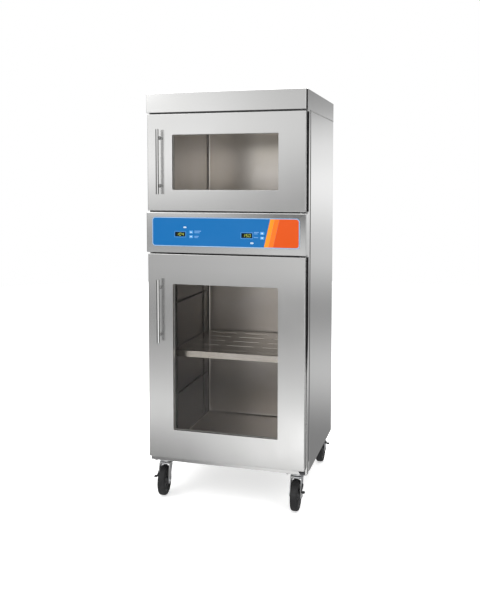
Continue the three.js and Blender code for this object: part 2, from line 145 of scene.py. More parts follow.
class Solid:
    """Gathers closed surfaces, in millimetres, with a material number per face."""

    def __init__(self):
        self.v, self.f, self.k = [], [], []

    def add(self, verts, faces, k=0):
        n = len(self.v)
        self.v += [tuple(p) for p in verts]
        self.f += [tuple(i + n for i in f) for f in faces]
        self.k += [k] * len(faces)
        return self

    def loft(self, rings, closed=False, caps=(True, True), k=0):
        n, m = len(rings[0]), len(rings)
        faces = []
        for i in range(m if closed else m - 1):
            a, b = i * n, ((i + 1) % m) * n
            for j in range(n):
                faces.append((a + j, a + (j + 1) % n, b + (j + 1) % n, b + j))
        if not closed:
            if caps[0]:
                faces.append(tuple(range(n - 1, -1, -1)))
            if caps[1]:
                faces.append(tuple(range((m - 1) * n, m * n)))
        return self.add([p for r in rings for p in r], faces, k)

    def prism(self, outline, place, h0, h1, k=0):
        return self.loft([[place(a, b, h) for a, b in outline] for h in (h0, h1)], k=k)

    def plate(self, outer, holes, place, h0, h1, c=0.0, k=0):
        """Flat plate with holes. outer and holes are functions of an inset, c eases the edges."""
        levels = [(c, h0), (0.0, h0 + c), (0.0, h1 - c), (c, h1)] if c > 0 else [(0.0, h0), (0.0, h1)]
        loops0 = [outer(levels[0][0])] + [h(levels[0][0]) for h in holes]
        flat = [p for l in loops0 for p in l]
        edges, start = [], 0
        for l in loops0:
            edges += [(start + i, start + (i + 1) % len(l)) for i in range(len(l))]
            start += len(l)
        _, _, tris, orig, _, _ = delaunay_2d_cdt([Vector(p) for p in flat], edges, [], 0, 1e-6)
        tris = [tuple(orig[i][0] for i in t) for t in tris]
        keep = []
        for t in tris:
            g = (sum(flat[i][0] for i in t) / 3, sum(flat[i][1] for i in t) / 3)
            if inside(g, loops0[0]) and not any(inside(g, l) for l in loops0[1:]):
                keep.append(t)
        verts, faces, total = [], [], len(flat)
        for inset, h in levels:
            for fn in [outer] + list(holes):
                verts += [place(a, b, h) for a, b in fn(inset)]
        last = (len(levels) - 1) * total
        faces += [t for t in keep] + [tuple(i + last for i in reversed(t)) for t in keep]
        start = 0
        for l in loops0:
            n = len(l)
            for s in range(len(levels) - 1):
                a, b = s * total + start, (s + 1) * total + start
                for i in range(n):
                    j = (i + 1) % n
                    faces.append((a + i, b + i, b + j, a + j))
            start += n
        return self.add(verts, faces, k)

    def turn(self, prof, at, axis, seg=48, ring=False, k=0, t0=0.0):
        """Turned piece. prof holds (radius, height), at is the point where height is 0."""
        rings = []
        for r, h in prof:
            loop = []
            for i in range(seg):
                t = t0 + 2 * math.pi * i / seg
                u, w = r * math.cos(t), r * math.sin(t)
                if axis == "x":
                    loop.append((at[0] + h, at[1] + u, at[2] + w))
                elif axis == "y":
                    loop.append((at[0] + u, at[1] + h, at[2] + w))
                else:
                    loop.append((at[0] + u, at[1] + w, at[2] + h))
            rings.append(loop)
        return self.loft(rings, closed=ring, k=k)

    def moved(self, fn):
        self.v = [fn(p) for p in self.v]
        return self


# ----------------------------------------------------------------- materials

class Nodes:
    """A material's node tree with a few shorthands."""

    def __init__(self, name):
        self.mat = bpy.data.materials.new(name)
        self.mat.use_nodes = True
        self.t = self.mat.node_tree
        self.b = self.t.nodes["Principled BSDF"]
        self.out = self.t.nodes["Material Output"]
        self.pos = self.t.nodes.new("ShaderNodeTexCoord").outputs["Object"]

    def new(self, kind, **props):
        n = self.t.nodes.new(kind)
        for key, value in props.items():
            setattr(n, key, value)
        return n

    def link(self, a, b):
        self.t.links.new(a, b)

    def scaled(self, scale, rotation=(0, 0, 0)):
        m = self.new("ShaderNodeMapping")
        m.inputs["Scale"].default_value = scale
        m.inputs["Rotation"].default_value = rotation
        self.link(self.pos, m.inputs["Vector"])
        return m.outputs["Vector"]

    def noise(self, scale, detail=3.0, vector=None, rough=0.55):
        n = self.new("ShaderNodeTexNoise")
        n.inputs["Scale"].default_value = scale
        n.inputs["Detail"].default_value = detail
        n.inputs["Roughness"].default_value = rough
        self.link(vector if vector is not None else self.pos, n.inputs["Vector"])
        return n.outputs["Fac"]

    def ranged(self, value, lo, hi, a=0.0, b=1.0, smooth=False):
        n = self.new("ShaderNodeMapRange")
        if smooth:
            n.interpolation_type = "SMOOTHSTEP"
        n.inputs["From Min"].default_value = lo
        n.inputs["From Max"].default_value = hi
        n.inputs["To Min"].default_value = a
        n.inputs["To Max"].default_value = b
        self.link(value, n.inputs["Value"])
        return n.outputs["Result"]

    def math(self, op, a, b=None, clamp=False):
        n = self.new("ShaderNodeMath", operation=op, use_clamp=clamp)
        for i, v in enumerate((a, b)):
            if v is None:
                continue
            if isinstance(v, (int, float)):
                n.inputs[i].default_value = v
            else:
                self.link(v, n.inputs[i])
        return n.outputs[0]

    def mix(self, fac, a, b, blend="MIX"):
        n = self.new("ShaderNodeMix", data_type="RGBA", blend_type=blend)
        if isinstance(fac, (int, float)):
            n.inputs[0].default_value = fac
        else:
            self.link(fac, n.inputs[0])
        for i, v in ((6, a), (7, b)):
            if isinstance(v, tuple):
                n.inputs[i].default_value = v + (1.0,)
            else:
                self.link(v, n.inputs[i])
        return n.outputs[2]

    def bump(self, height, strength, distance, normal=None):
        n = self.new("ShaderNodeBump")
        n.inputs["Strength"].default_value = strength
        n.inputs["Distance"].default_value = distance
        self.link(height, n.inputs["Height"])
        if normal is not None:
            self.link(normal, n.inputs["Normal"])
        return n.outputs["Normal"]

    def set(self, **values):
        for key, value in values.items():
            s = self.b.inputs[key.replace("_", " ")]
            if isinstance(value, tuple):
                s.default_value = value + (1.0,) if len(value) == 3 else value
            elif isinstance(value, (int, float)):
                s.default_value = value
            else:
                self.link(value, s)
        return self


def brushed(name, tone, rough, aniso=0.55, grain=1.0, vertical=False, warm=0.0, faint=0.0, painted_highlight_shade=None):
    """Satin stainless: fine drawn lines, faint wider streaks and handling marks."""
    m = Nodes(name)
    lo, hi = (5.0, 900.0)
    scale = (hi, hi, lo) if vertical else (lo, lo, hi)
    line = m.noise(1.0, 2.0, m.scaled(scale))
    geo = m.new("ShaderNodeNewGeometry")
    sep = m.new("ShaderNodeSeparateXYZ")
    m.link(geo.outputs["True Normal"], sep.inputs[0])
    level = m.ranged(m.math("ABSOLUTE", sep.outputs[2]), 0.6, 0.8)
    flat_line = m.noise(1.0, 2.0, m.scaled((lo, hi, lo)))
    line = m.math("ADD", m.math("MULTIPLY", flat_line, level), m.math("MULTIPLY", line, m.math("SUBTRACT", 1.0, level)))
    wide = m.noise(1.0, 3.0, m.scaled((150.0, 150.0, 1.6) if vertical else (1.6, 1.6, 150.0)))
    marks = m.noise(3.2, 4.0)
    smear = m.noise(11.0, 5.0, m.scaled((1.0, 1.0, 0.5)), 0.65)
    r = m.math("ADD", rough - 0.03, m.math("MULTIPLY", line, 0.024 * grain))
    r = m.math("ADD", r, m.math("MULTIPLY", wide, 0.02 * grain))
    r = m.math("ADD", r, m.ranged(marks, 0.35, 0.7, -0.008, 0.014, True))
    r = m.math("ADD", r, m.ranged(smear, 0.55, 0.75, 0.0, 0.016, True))
    dark = tuple(c * 0.985 for c in tone)
    light = tuple(min(1.0, c * 1.012) for c in tone)
    col = m.mix(m.math("ADD", m.math("MULTIPLY", wide, 0.6), m.math("MULTIPLY", line, 0.4)), dark, light)
    tint = (tone[0] * 1.0, tone[1] * 0.995, tone[2] * (0.985 - warm))
    col = m.mix(m.ranged(marks, 0.45, 0.75, 0.0, 0.5, True), col, tint)
    if painted_highlight_shade:
        # Painted highlight and painted shade: a bright line down the front of the bar, on the side facing the camera,
        # with dark flanks beside it, set in the colour.
        bright, dull = painted_highlight_shade
        side = m.new("ShaderNodeVectorMath")
        side.operation = "DOT_PRODUCT"
        m.link(m.new("ShaderNodeTexCoord").outputs["Normal"], side.inputs[0])
        side.inputs[1].default_value = (0.38, -0.925, 0.0)
        turned = side.outputs["Value"]
        col = m.mix(m.ranged(turned, 0.40, 0.47), col, (dull,) * 3)
        col = m.mix(m.ranged(turned, 0.93, 0.98, 0.0, 1.0, True), col, (bright, bright, bright * 0.99))
    m.set(Base_Color=col, Roughness=r, Metallic=1.0, Anisotropic=aniso, Anisotropic_Rotation=0.0 if vertical else 0.25)
    m.set(Normal=m.bump(line, 0.012 * grain, 0.0003))
    if faint > 0:
        # The satin sheet beside it shows only a faint mirror image.
        path = m.new("ShaderNodeLightPath")
        clear = m.new("ShaderNodeBsdfTransparent")
        pick = m.new("ShaderNodeMixShader")
        m.link(m.math("MULTIPLY", path.outputs["Is Glossy Ray"], faint), pick.inputs[0])
        m.link(m.b.outputs[0], pick.inputs[1])
        m.link(clear.outputs[0], pick.inputs[2])
        m.link(pick.outputs[0], m.out.inputs["Surface"])
    return m.mat


def mill(name, tone, rough, warm=0.0):
    """Cold-rolled sheet: cloudy sheen and faint rolling lines."""
    m = Nodes(name)
    cloud = m.noise(7.0, 5.0)
    roll = m.noise(1.0, 2.0, m.scaled((260.0, 260.0, 3.0)))
    speck = m.noise(240.0, 2.0)
    r = m.math("ADD", rough - 0.05, m.math("MULTIPLY", cloud, 0.08))
    r = m.math("ADD", r, m.math("MULTIPLY", roll, 0.04))
    dark = (tone[0] * 0.92, tone[1] * 0.91, tone[2] * (0.89 - warm))
    col = m.mix(m.ranged(cloud, 0.3, 0.7, 0.0, 1.0, True), dark, tone)
    m.set(Base_Color=col, Roughness=r, Metallic=1.0)
    m.set(Normal=m.bump(m.math("ADD", roll, m.math("MULTIPLY", speck, 0.4)), 0.04, 0.0003))
    return m.mat


def zinc(name, tone, rough):
    """Bright zinc plate: small spangle, faint bluish and straw tints, dulled patches."""
    m = Nodes(name)
    v = m.new("ShaderNodeTexVoronoi", feature="F1")
    v.inputs["Scale"].default_value = 320.0
    m.link(m.pos, v.inputs["Vector"])
    cloud = m.noise(28.0, 4.0)
    col = m.mix(m.ranged(cloud, 0.35, 0.7, 0.0, 1.0, True), tone, (tone[0] * 0.94, tone[1] * 0.95, tone[2] * 1.0))
    col = m.mix(m.ranged(m.noise(60.0, 3.0), 0.55, 0.8, 0.0, 0.35, True), col, (tone[0], tone[1] * 0.95, tone[2] * 0.82))
    r = m.math("ADD", rough - 0.04, m.math("MULTIPLY", cloud, 0.14))
    m.set(Base_Color=col, Roughness=r, Metallic=1.0)
    m.set(Normal=m.bump(v.outputs["Distance"], 0.04, 0.0004))
    return m.mat


def rubber(name, tone, rough, dust=0.0, scale=900.0, spec=0.4):
    """Moulded rubber: matte skin with fine grain and a little pale dust in the lows."""
    m = Nodes(name)
    grain = m.noise(scale, 3.0)
    cloud = m.noise(22.0, 5.0)
    pale = tuple(min(1.0, c + 0.055) for c in tone)
    fac = m.ranged(cloud, 0.45, 0.8, 0.0, 0.25 + dust, True)
    m.set(Base_Color=m.mix(fac, tone, pale), Roughness=m.math("ADD", rough - 0.08, m.math("MULTIPLY", cloud, 0.18)))
    m.set(Normal=m.bump(grain, 0.15, 0.0004), Specular_IOR_Level=spec)
    return m.mat


def plastic(name, tone, rough, grain=500.0, strength=0.1):
    """Moulded plastic: spark-eroded grain with light handling sheen."""
    m = Nodes(name)
    g = m.noise(grain, 2.0)
    cloud = m.noise(30.0, 4.0)
    light = tuple(min(1.0, c * 1.25 + 0.004) for c in tone)
    m.set(Base_Color=m.mix(m.ranged(cloud, 0.35, 0.75, 0.0, 0.6, True), tone, light))
    m.set(Roughness=m.math("ADD", rough - 0.06, m.math("MULTIPLY", cloud, 0.12)))
    m.set(Normal=m.bump(g, strength, 0.0003))
    return m.mat


def film(name, tone, rough, light=0.08):
    """Printed film under a satin hard coat: fine stipple, soft tone drift."""
    m = Nodes(name)
    stipple = m.noise(1500.0, 2.0)
    drift = m.noise(4.0, 3.0)
    up = tuple(min(1.0, c + light * (0.3 + c)) for c in tone)
    m.set(Base_Color=m.mix(m.ranged(drift, 0.3, 0.7, 0.0, 1.0, True), tone, up))
    m.set(Roughness=m.math("ADD", rough - 0.04, m.math("MULTIPLY", m.noise(40.0, 3.0), 0.08)))
    m.set(Normal=m.bump(stipple, 0.06, 0.0002), Specular_IOR_Level=0.12)
    return m.mat


def glass(name):
    """Clear tempered pane: passes light straight through and mirrors at glancing angles."""
    m = Nodes(name)
    t = m.t
    clear = m.new("ShaderNodeBsdfTransparent")
    clear.inputs["Color"].default_value = (0.984, 0.983, 0.981, 1.0)
    gloss = m.new("ShaderNodeBsdfGlossy")
    gloss.inputs["Color"].default_value = (0.92, 0.92, 0.92, 1.0)
    haze = m.noise(9.0, 4.0)
    m.link(m.ranged(haze, 0.4, 0.75, 0.015, 0.05, True), gloss.inputs["Roughness"])
    fres = m.new("ShaderNodeFresnel")
    fres.inputs["IOR"].default_value = 1.18
    mixer = m.new("ShaderNodeMixShader")
    m.link(fres.outputs[0], mixer.inputs[0])
    m.link(clear.outputs[0], mixer.inputs[1])
    m.link(gloss.outputs[0], mixer.inputs[2])
    m.link(mixer.outputs[0], m.out.inputs["Surface"])
    t.nodes.remove(m.b)
    return m.mat


def wool(name):
    """Glass-fibre batt: fluffy fibres with darker hollows."""
    m = Nodes(name)
    fibre = m.noise(1.0, 6.0, m.scaled((420.0, 60.0, 420.0)), 0.7)
    tuft = m.noise(26.0, 5.0)
    col = m.mix(m.ranged(tuft, 0.3, 0.7), (0.62, 0.54, 0.30), (0.82, 0.76, 0.50))
    col = m.mix(m.ranged(fibre, 0.35, 0.7, 0.0, 0.45), col, (0.9, 0.86, 0.66))
    m.set(Base_Color=col, Roughness=m.ranged(fibre, 0.2, 0.8, 0.85, 1.0))
    m.set(Normal=m.bump(fibre, 0.6, 0.004))
    return m.mat


def foil(name):
    """Heater foil: crinkled aluminium with the cable's run pressed through."""
    m = Nodes(name)
    v = m.new("ShaderNodeTexVoronoi", feature="DISTANCE_TO_EDGE")
    v.inputs["Scale"].default_value = 55.0
    m.link(m.pos, v.inputs["Vector"])
    w = m.new("ShaderNodeTexWave", wave_type="BANDS", bands_direction="Y")
    w.inputs["Scale"].default_value = 9.0
    w.inputs["Distortion"].default_value = 0.6
    m.link(m.pos, w.inputs["Vector"])
    cloud = m.noise(18.0, 4.0)
    m.set(Base_Color=m.mix(cloud, (0.62, 0.60, 0.56), (0.80, 0.79, 0.76)), Metallic=1.0)
    m.set(Roughness=m.ranged(cloud, 0.3, 0.7, 0.24, 0.4))
    n = m.bump(v.outputs["Distance"], 0.35, 0.003)
    m.set(Normal=m.bump(w.outputs["Fac"], 0.4, 0.004, n))
    return m.mat


def board(name):
    """Circuit board: green solder mask with tracks and pads."""
    m = Nodes(name)
    brick = m.new("ShaderNodeTexBrick")
    brick.inputs["Scale"].default_value = 60.0
    brick.inputs["Mortar Size"].default_value = 0.03
    m.link(m.scaled((1.0, 1.0, 1.0), (math.radians(90), 0, 0)), brick.inputs["Vector"])
    cloud = m.noise(35.0, 3.0)
    col = m.mix(cloud, (0.012, 0.10, 0.045), (0.02, 0.17, 0.075))
    col = m.mix(m.math("MULTIPLY", brick.outputs["Fac"], 0.7), col, (0.05, 0.30, 0.13))
    m.set(Base_Color=col, Roughness=m.ranged(cloud, 0.3, 0.7, 0.3, 0.48))
    m.set(Normal=m.bump(brick.outputs["Fac"], 0.2, 0.0005))
    return m.mat


def lit(name, tone, power):
    """Lit segment: a glowing colour with a fine speckle."""
    m = Nodes(name)
    speck = m.noise(700.0, 2.0)
    m.set(Base_Color=m.mix(speck, tuple(c * 0.5 for c in tone), tuple(c * 0.65 for c in tone)), Roughness=m.ranged(speck, 0.3, 0.7, 0.35, 0.5))
    m.set(Emission_Color=m.mix(speck, tone, tuple(min(1.0, c * 1.15) for c in tone)), Emission_Strength=power)
    return m.mat


STEEL = (0.640, 0.639, 0.634)
M = {
    "front": brushed("satin_steel_front", STEEL, 0.19, 0.60, vertical=True),
    "case": brushed("satin_steel_case", (0.636, 0.635, 0.630), 0.15, 0.35),
    "bezel": brushed("satin_steel_bezel", (0.600, 0.603, 0.600), 0.11, 0.30),
    # The bar pull's colour holds a painted highlight down its camera-facing front and painted shade on its flanks.
    "bar": brushed("satin_steel_bar_painted_highlight", (0.34, 0.34, 0.335), 0.11, 0.10, vertical=True, faint=0.55, painted_highlight_shade=(0.88, 0.12)),
    # Liner tones are lit and shaded copies of one steel: painted light on the upper back wall, painted shade on the
    # side walls, and the lower chamber darker again as painted shade.
    "liner": mill("liner_steel", (0.84, 0.795, 0.755), 0.23, 0.02),
    "liner_side": mill("liner_side_painted_shade", (0.44, 0.41, 0.385), 0.30, 0.02),
    "liner_low": mill("liner_lower_painted_shade", (0.60, 0.562, 0.535), 0.32, 0.02),
    "liner_low_side": mill("liner_side_lower_painted_shade", (0.15, 0.139, 0.131), 0.38, 0.02),
    "shelf": mill("shelf_steel", (0.68, 0.64, 0.60), 0.22, 0.02),
    "inner": mill("door_liner_steel", (0.64, 0.625, 0.60), 0.32),
    # Dark grey tone of the bead under the hood's skirt: painted shade.
    "skirt_shade_grey": rubber("hood_skirt_painted_shade", (0.24, 0.24, 0.235), 0.7, 0.0, 900.0, 0.2),
    "bead": rubber("pane_silicone", (0.30, 0.295, 0.285), 0.5),
    "base": mill("base_steel", (0.50, 0.50, 0.49), 0.42),
    "zinc": zinc("zinc_plate", (0.66, 0.665, 0.66), 0.30),
    "hinge": zinc("hinge_steel", (0.10, 0.10, 0.105), 0.34),
    "screw": zinc("screw_steel", (0.58, 0.58, 0.57), 0.28),
    "glass": glass("window_glass"),
    # Matte black foam for the hood slots, side seams and door gaps: painted shade.
    "foam": rubber("black_foam_painted_shade", (0.012, 0.012, 0.0125), 0.90, 0.0, 700.0, 0.06),
    "gasket": rubber("gasket_rubber", (0.016, 0.016, 0.017), 0.62),
    "tyre": rubber("tyre_rubber", (0.012, 0.012, 0.0126), 0.60, 0.10, 600.0, 0.25),
    "core": plastic("wheel_core", (0.027, 0.027, 0.0285), 0.42),
    "lever": plastic("brake_plastic", (0.018, 0.018, 0.019), 0.40),
    "inlet": plastic("inlet_plastic", (0.020, 0.020, 0.021), 0.45),
    "blue": film("overlay_blue", (0.004, 0.112, 0.320), 0.40, 0.02),
    "pale": film("overlay_border", (0.26, 0.38, 0.52), 0.38),
    "amber": film("overlay_amber", (0.66, 0.22, 0.010), 0.36, 0.04),
    "tangerine": film("overlay_tangerine", (0.64, 0.135, 0.010), 0.36, 0.04),
    "vermilion": film("overlay_vermilion", (0.545, 0.068, 0.006), 0.40, 0.02),
    "key": film("key_film", (0.055, 0.25, 0.56), 0.40),
    "icon": film("icon_print", (0.50, 0.60, 0.70), 0.42, 0.05),
    "label": film("label_print", (0.12, 0.28, 0.55), 0.42, 0.05),
    "lens": film("display_lens", (0.004, 0.005, 0.004), 0.12, 0.004),
    "on": lit("segment_lit", (0.50, 0.62, 0.10), 0.42),
    "off": film("segment_dark", (0.016, 0.020, 0.010), 0.3, 0.006),
    "wool": wool("insulation"),
    "foil": foil("heater_foil"),
    "board": board("circuit_board"),
}


# -------------------------------------------------------------------- pieces

def make(name, solid, mats, body, stands_for=(), angle=32.0):
    me = bpy.data.meshes.new(name)
    me.from_pydata([P(p) for p in solid.v], [], solid.f)
    bm = bmesh.new()
    bm.from_mesh(me)
    bmesh.ops.recalc_face_normals(bm, faces=bm.faces)
    bm.to_mesh(me)
    bm.free()
    for key in mats:
        me.materials.append(M[key])
    me.polygons.foreach_set("material_index", solid.k)
    me.polygons.foreach_set("use_smooth", [True] * len(me.polygons))
    me.set_sharp_from_angle(angle=math.radians(angle))
    me.update()
    o = bpy.data.objects.new(name, me)
    scene.collection.objects.link(o)
    w = o.modifiers.new("even", "WEIGHTED_NORMAL")
    w.keep_sharp = True
    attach(o, body)
    if stands_for:
        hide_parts(*stands_for)
    return o


def dress(node, key, width=0.0):
    """A carried-over node: its material, and eased edges by modifiers."""
    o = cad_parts[node]
    if o.material_slots:
        for s in o.material_slots:
            s.material = M[key]
    else:
        o.data.materials.append(M[key])
    if width > 0:
        w = o.modifiers.new("weld", "WELD")
        w.merge_threshold = 0.00001
        b = o.modifiers.new("ease", "BEVEL")
        b.width = width * 0.001
        b.segments = 2
        b.limit_method = "ANGLE"
        b.angle_limit = math.radians(35)
        b.harden_normals = True
    return o


def arc(r, n):
    """(inset, drop) pairs round a bend of radius r, from the face to the wall."""
    return [(r * (1 - math.sin(math.radians(90 * i / n))), r * (1 - math.cos(math.radians(90 * i / n)))) for i in range(n + 1)]


# Hood: folded lid whose front fascia ends in an open slot before each side, with a soffit over the doors.
def hood_outline(x0, x1, y0, y1, y2, i, radii):
    half = [(x0 - i, y0 + i), (x0 - i, y1 + i), (x1 - i, y1 + i), (x1 - i, y2 - i)]
    r = [max(radii[0] - i, 0.3), radii[1] + i, max(radii[2] - i, 0.3), max(radii[3] - i, 0.3)]
    return fillet(half + [(-a, b) for a, b in half[::-1]], r + r[::-1], 5)


def hood():
    s = Solid()
    r, t = 3.0, 1.2
    ring = lambda i, z: [(a, b, z) for a, b in hood_outline(336.0, 340.0, 0.0, 16.0, 640.0, i, (2.5, 0.4, 1.2, 7.0))]
    rings = [ring(i, 1707 - d) for i, d in arc(r, 5)]
    rings += [ring(0, 1627.4), ring(0.35, 1627.0), ring(t, 1627.0), ring(t, 1707 - r)]
    rings += [ring(t + i, 1707 - t - d) for i, d in arc(r - t, 3)][::-1]
    s.loft(rings)
    s.plate(lambda i: hood_outline(334.75, 338.75, 1.25, 17.25, 38.3, i, (1.2, 0.3, 0.8, 0.8)), [], XY, 1627.05, 1628.25, 0.25)
    make("hood_shell", s, ["case"], "cabinet", ["top_hood"])
    # Black foam set into the slots: painted shade in the open slots.
    s = Solid()
    for d in (-1, 1):
        out = fillet([(336.05, 8.2), (336.5, 8.2), (339.5, 15.0), (339.5, 15.95), (336.05, 15.95)], [0, 0.2, 0.4, 0, 0], 3)
        s.prism([(d * a, b) for a, b in out], XY, 1627.3, 1704.0)
    make("hood_slot_shade_foam", s, ["foam"], "cabinet")


# Side panels: one sheet each, bent inwards along the front and back edges.
def sides():
    for name, s in (("left", -1), ("right", 1)):
        b = Solid()
        path = [(322.5, 90.0), (338.5, 90.0), (338.5, 638.4), (322.5, 638.4)]
        out = strip(path, 1.5, 2.6, 5)
        out = [(s * x, y) for x, y in out]
        b.prism(out, XY, 155.0, 1703.0)
        make(name + "_side_sheet", b, ["case"], "cabinet", [name + "_side_panel"])


# Grey bead under the hood's skirt, along the top of each side sheet: its dark tone is painted shade, standing in for
# the shadow line under the skirt.
def hood_skirt_shade_bead():
    s = Solid()
    for d in (-1, 1):
        prof = [(338.4, 1626.98), (338.4, 1622.6), (339.0, 1622.9), (339.5, 1623.8), (339.8, 1625.2), (339.8, 1626.98)]
        s.loft([[(d * a, y, b) for a, b in prof] for y in (92.0, 636.0)])
    make("hood_skirt_painted_shade", s, ["skirt_shade_grey"], "cabinet")


# Black filler set back in the open seam between the front frame and each side sheet: a dark piece put where there is
# only shade, painted shade.
def seam_shade_fill():
    s = Solid()
    for d in (-1, 1):
        out = fillet([(324.0, 73.3), (337.2, 73.3), (337.7, 76.0), (337.7, 87.5), (337.2, 89.8), (324.0, 89.8)], [0, 0.8, 1.5, 1.5, 0.8, 0], 3)
        s.prism([(d * a, b) for a, b in out], XY, 198.5, 1700.0)
    make("seam_shade_filler", s, ["foam"], "cabinet")


def back():
    s = Solid()
    holes = [lambda i: rrect(-224 - i, -176 + i, 1094 - i, 1122 + i, 2.0 + i, 3)]
    for n in range(6):
        z = 1080 + 16 * n
        holes.append(lambda i, z=z: rrect(60 - i, 200 + i, z - 3 - i, z + 3 + i, 3.0 + i, 5))
    s.plate(lambda i: rrect(-338.2 + i, 338.2 - i, 155 + i, 1626.6 - i, 1.2, 3), holes, XZ, 638.7, 640.0, 0.3)
    make("back_sheet", s, ["case"], "cabinet", ["back_panel"])


def button_head(s, x, y, z, d, r=4.2, h=2.4, out=1, k=0):
    """Low round head with a hex recess, standing out along d (axis letter) by h."""
    hexagon = []
    for i in range(24):
        t = math.pi * 2 * i / 24
        q = (t % (math.pi / 3)) - math.pi / 6
        hexagon.append(math.cos(math.pi / 6) / math.cos(q))
    rings = []
    prof = [(r, 0.0, 0), (r, h * 0.3, 0), (r * 0.92, h * 0.66, 0), (r * 0.72, h * 0.92, 0), (r * 0.52, h, 0),
            (r * 0.46, h, 1), (r * 0.43, h * 0.35, 1)]
    for rad, up, hx in prof:
        loop = []
        for i in range(24):
            t = math.pi * 2 * i / 24
            q = rad * (hexagon[i] if hx else 1.0)
            u, w = q * math.cos(t), q * math.sin(t)
            if d == "y":
                loop.append((x + u, y + out * up, z + w))
            elif d == "x":
                loop.append((x + out * up, y + u, z + w))
            else:
                loop.append((x + u, y + w, z + out * up))
        rings.append(loop)
    s.loft(rings, k=k)


def back_screws():
    s = Solid()
    for z in (176, 446, 716, 986, 1256, 1450, 1604):
        for x in (-322, 322):
            button_head(s, x, 640.0, z, "y")
    for x in (-161, 0, 161):
        for z in (170, 1608):
            button_head(s, x, 640.0, z, "y")
    make("back_screws", s, ["screw"], "cabinet")
    h = Solid()
    for x in (-250, 0, 250):
        button_head(h, x, 640.0, 1664, "y")
    make("hood_screws", h, ["screw"], "cabinet")


# Doors.
DOORS = {"upper_door": ((1223.0, 1621.0), (1309.0, 1536.0), 1425.0), "lower_door": ((181.0, 1044.0), (302.0, 919.0), 806.0)}


def door(name, span, win, hz):
    z0, z1 = span
    w0, w1 = win
    n = 5
    # Shell: skin with a sharp window cut, folded edges and welded corners.
    ring = lambda i, y: [(a, y, b) for a, b in rrect(-334 + i, 334 - i, z0 + i, z1 - i, max(3.2 - i, 0.35), n)]
    wring = lambda g, y, r=5.0: [(a, y, b) for a, b in rrect(-224 - g, 224 + g, w0 - g, w1 + g, r + g, n)]
    r, t = 2.2, 1.2
    rings = [wring(0.0, 6.35), wring(0.35, 6.0)]
    rings += [ring(i, 6.0 + d) for i, d in arc(r, 5)]
    rings += [ring(0, 31.6), ring(0.4, 32.0), ring(t, 32.0)]
    rings += [ring(t + i, 6.0 + t + d) for i, d in arc(r - t, 3)][::-1]
    rings += [wring(0.0, 7.2)]
    s = Solid().loft(rings, closed=True)
    make(name + "_skin", s, ["front"], name, [name + "_shell"])
    # Back sheet with the reveal folded forwards round the window.
    oring = lambda i, y: [(a, y, b) for a, b in rrect(-332.4 + i, 332.4 - i, z0 + 1.6 + i, z1 - 1.6 - i, max(2.0 - i, 0.3), n)]
    f = 2.4
    rings = [oring(0, 31.7), oring(0.3, 32.0)]
    rings += [wring(0.4 + i, 32.0 - d) for i, d in arc(f, 4)]
    rings += [wring(0.4, 13.8), wring(1.6, 13.8)]
    rings += [wring(1.6 + i, 30.8 - d) for i, d in arc(f - 1.2, 3)][::-1]
    rings += [oring(0, 30.8)]
    s = Solid().loft(rings, closed=True)
    make(name + "_back_sheet", s, ["inner"], name, [name + "_inner_panel"])
    # Pane seals: a thin silicone bead in each corner between the panes and the reveal.
    s = Solid()
    for y0, d in ((23.9, -1), (28.1, 1)):
        prof = [(0.36, y0), (0.36, y0 + 1.5 * d), (-0.1, y0 + 1.1 * d), (-0.75, y0 + 0.35 * d), (-1.0, y0)]
        s.loft([wring(g, y, 5.0) for g, y in prof], closed=True)
    make(name + "_pane_seal", s, ["bead"], name)
    # Gasket: hollow-looking bulb with a narrow waist.
    gring = lambda i, y: [(a, y, b) for a, b in rrect(-322 + i, 314 - i, z0 + 12 + i, z1 - 12 - i, max(2.0 - i, 0.2), 2)]
    prof = [(0.0, 32.3), (0.0, 33.2), (0.8, 33.8), (2.2, 34.1), (2.2, 34.7), (0.8, 35.2), (0.1, 36.0), (0.1, 38.2), (0.7, 39.2), (1.9, 39.7),
            (10.1, 39.7), (11.3, 39.2), (11.9, 38.2), (11.9, 36.0), (11.2, 35.2), (9.8, 34.7), (9.8, 34.1), (11.2, 33.8), (12.0, 33.2), (12.0, 32.3)]
    s = Solid().loft([gring(i, y) for i, y in prof], closed=True)
    make(name + "_seal", s, ["gasket"], name, [name + "_gasket"], 40)
    # Bar pull: round bar with eased ends on two waisted posts.
    s = Solid()
    h, hr = 133.0, 6.2
    end = [(hr * 0.55, -h), (hr - 1.3, -h), (hr - 0.5, -h + 0.3), (hr - 0.1, -h + 0.9), (hr, -h + 1.8)]
    s.turn(end + [(q, -u) for q, u in end[::-1]], (-279, -22.5, hz), "z", 48)
    for d in (-98.5, 98.5):
        s.turn([(4.8, -1.0), (5.2, 3.4), (5.6, 7.0), (5.6, 21.5), (5.8, 24.0), (6.4, 25.2), (7.1, 25.7), (7.5, 26.3), (7.5, 28.2)], (-279, -22.5, hz + d), "y", 40)
    make(name + "_pull", s, ["bar"], name, [name + "_handle"])


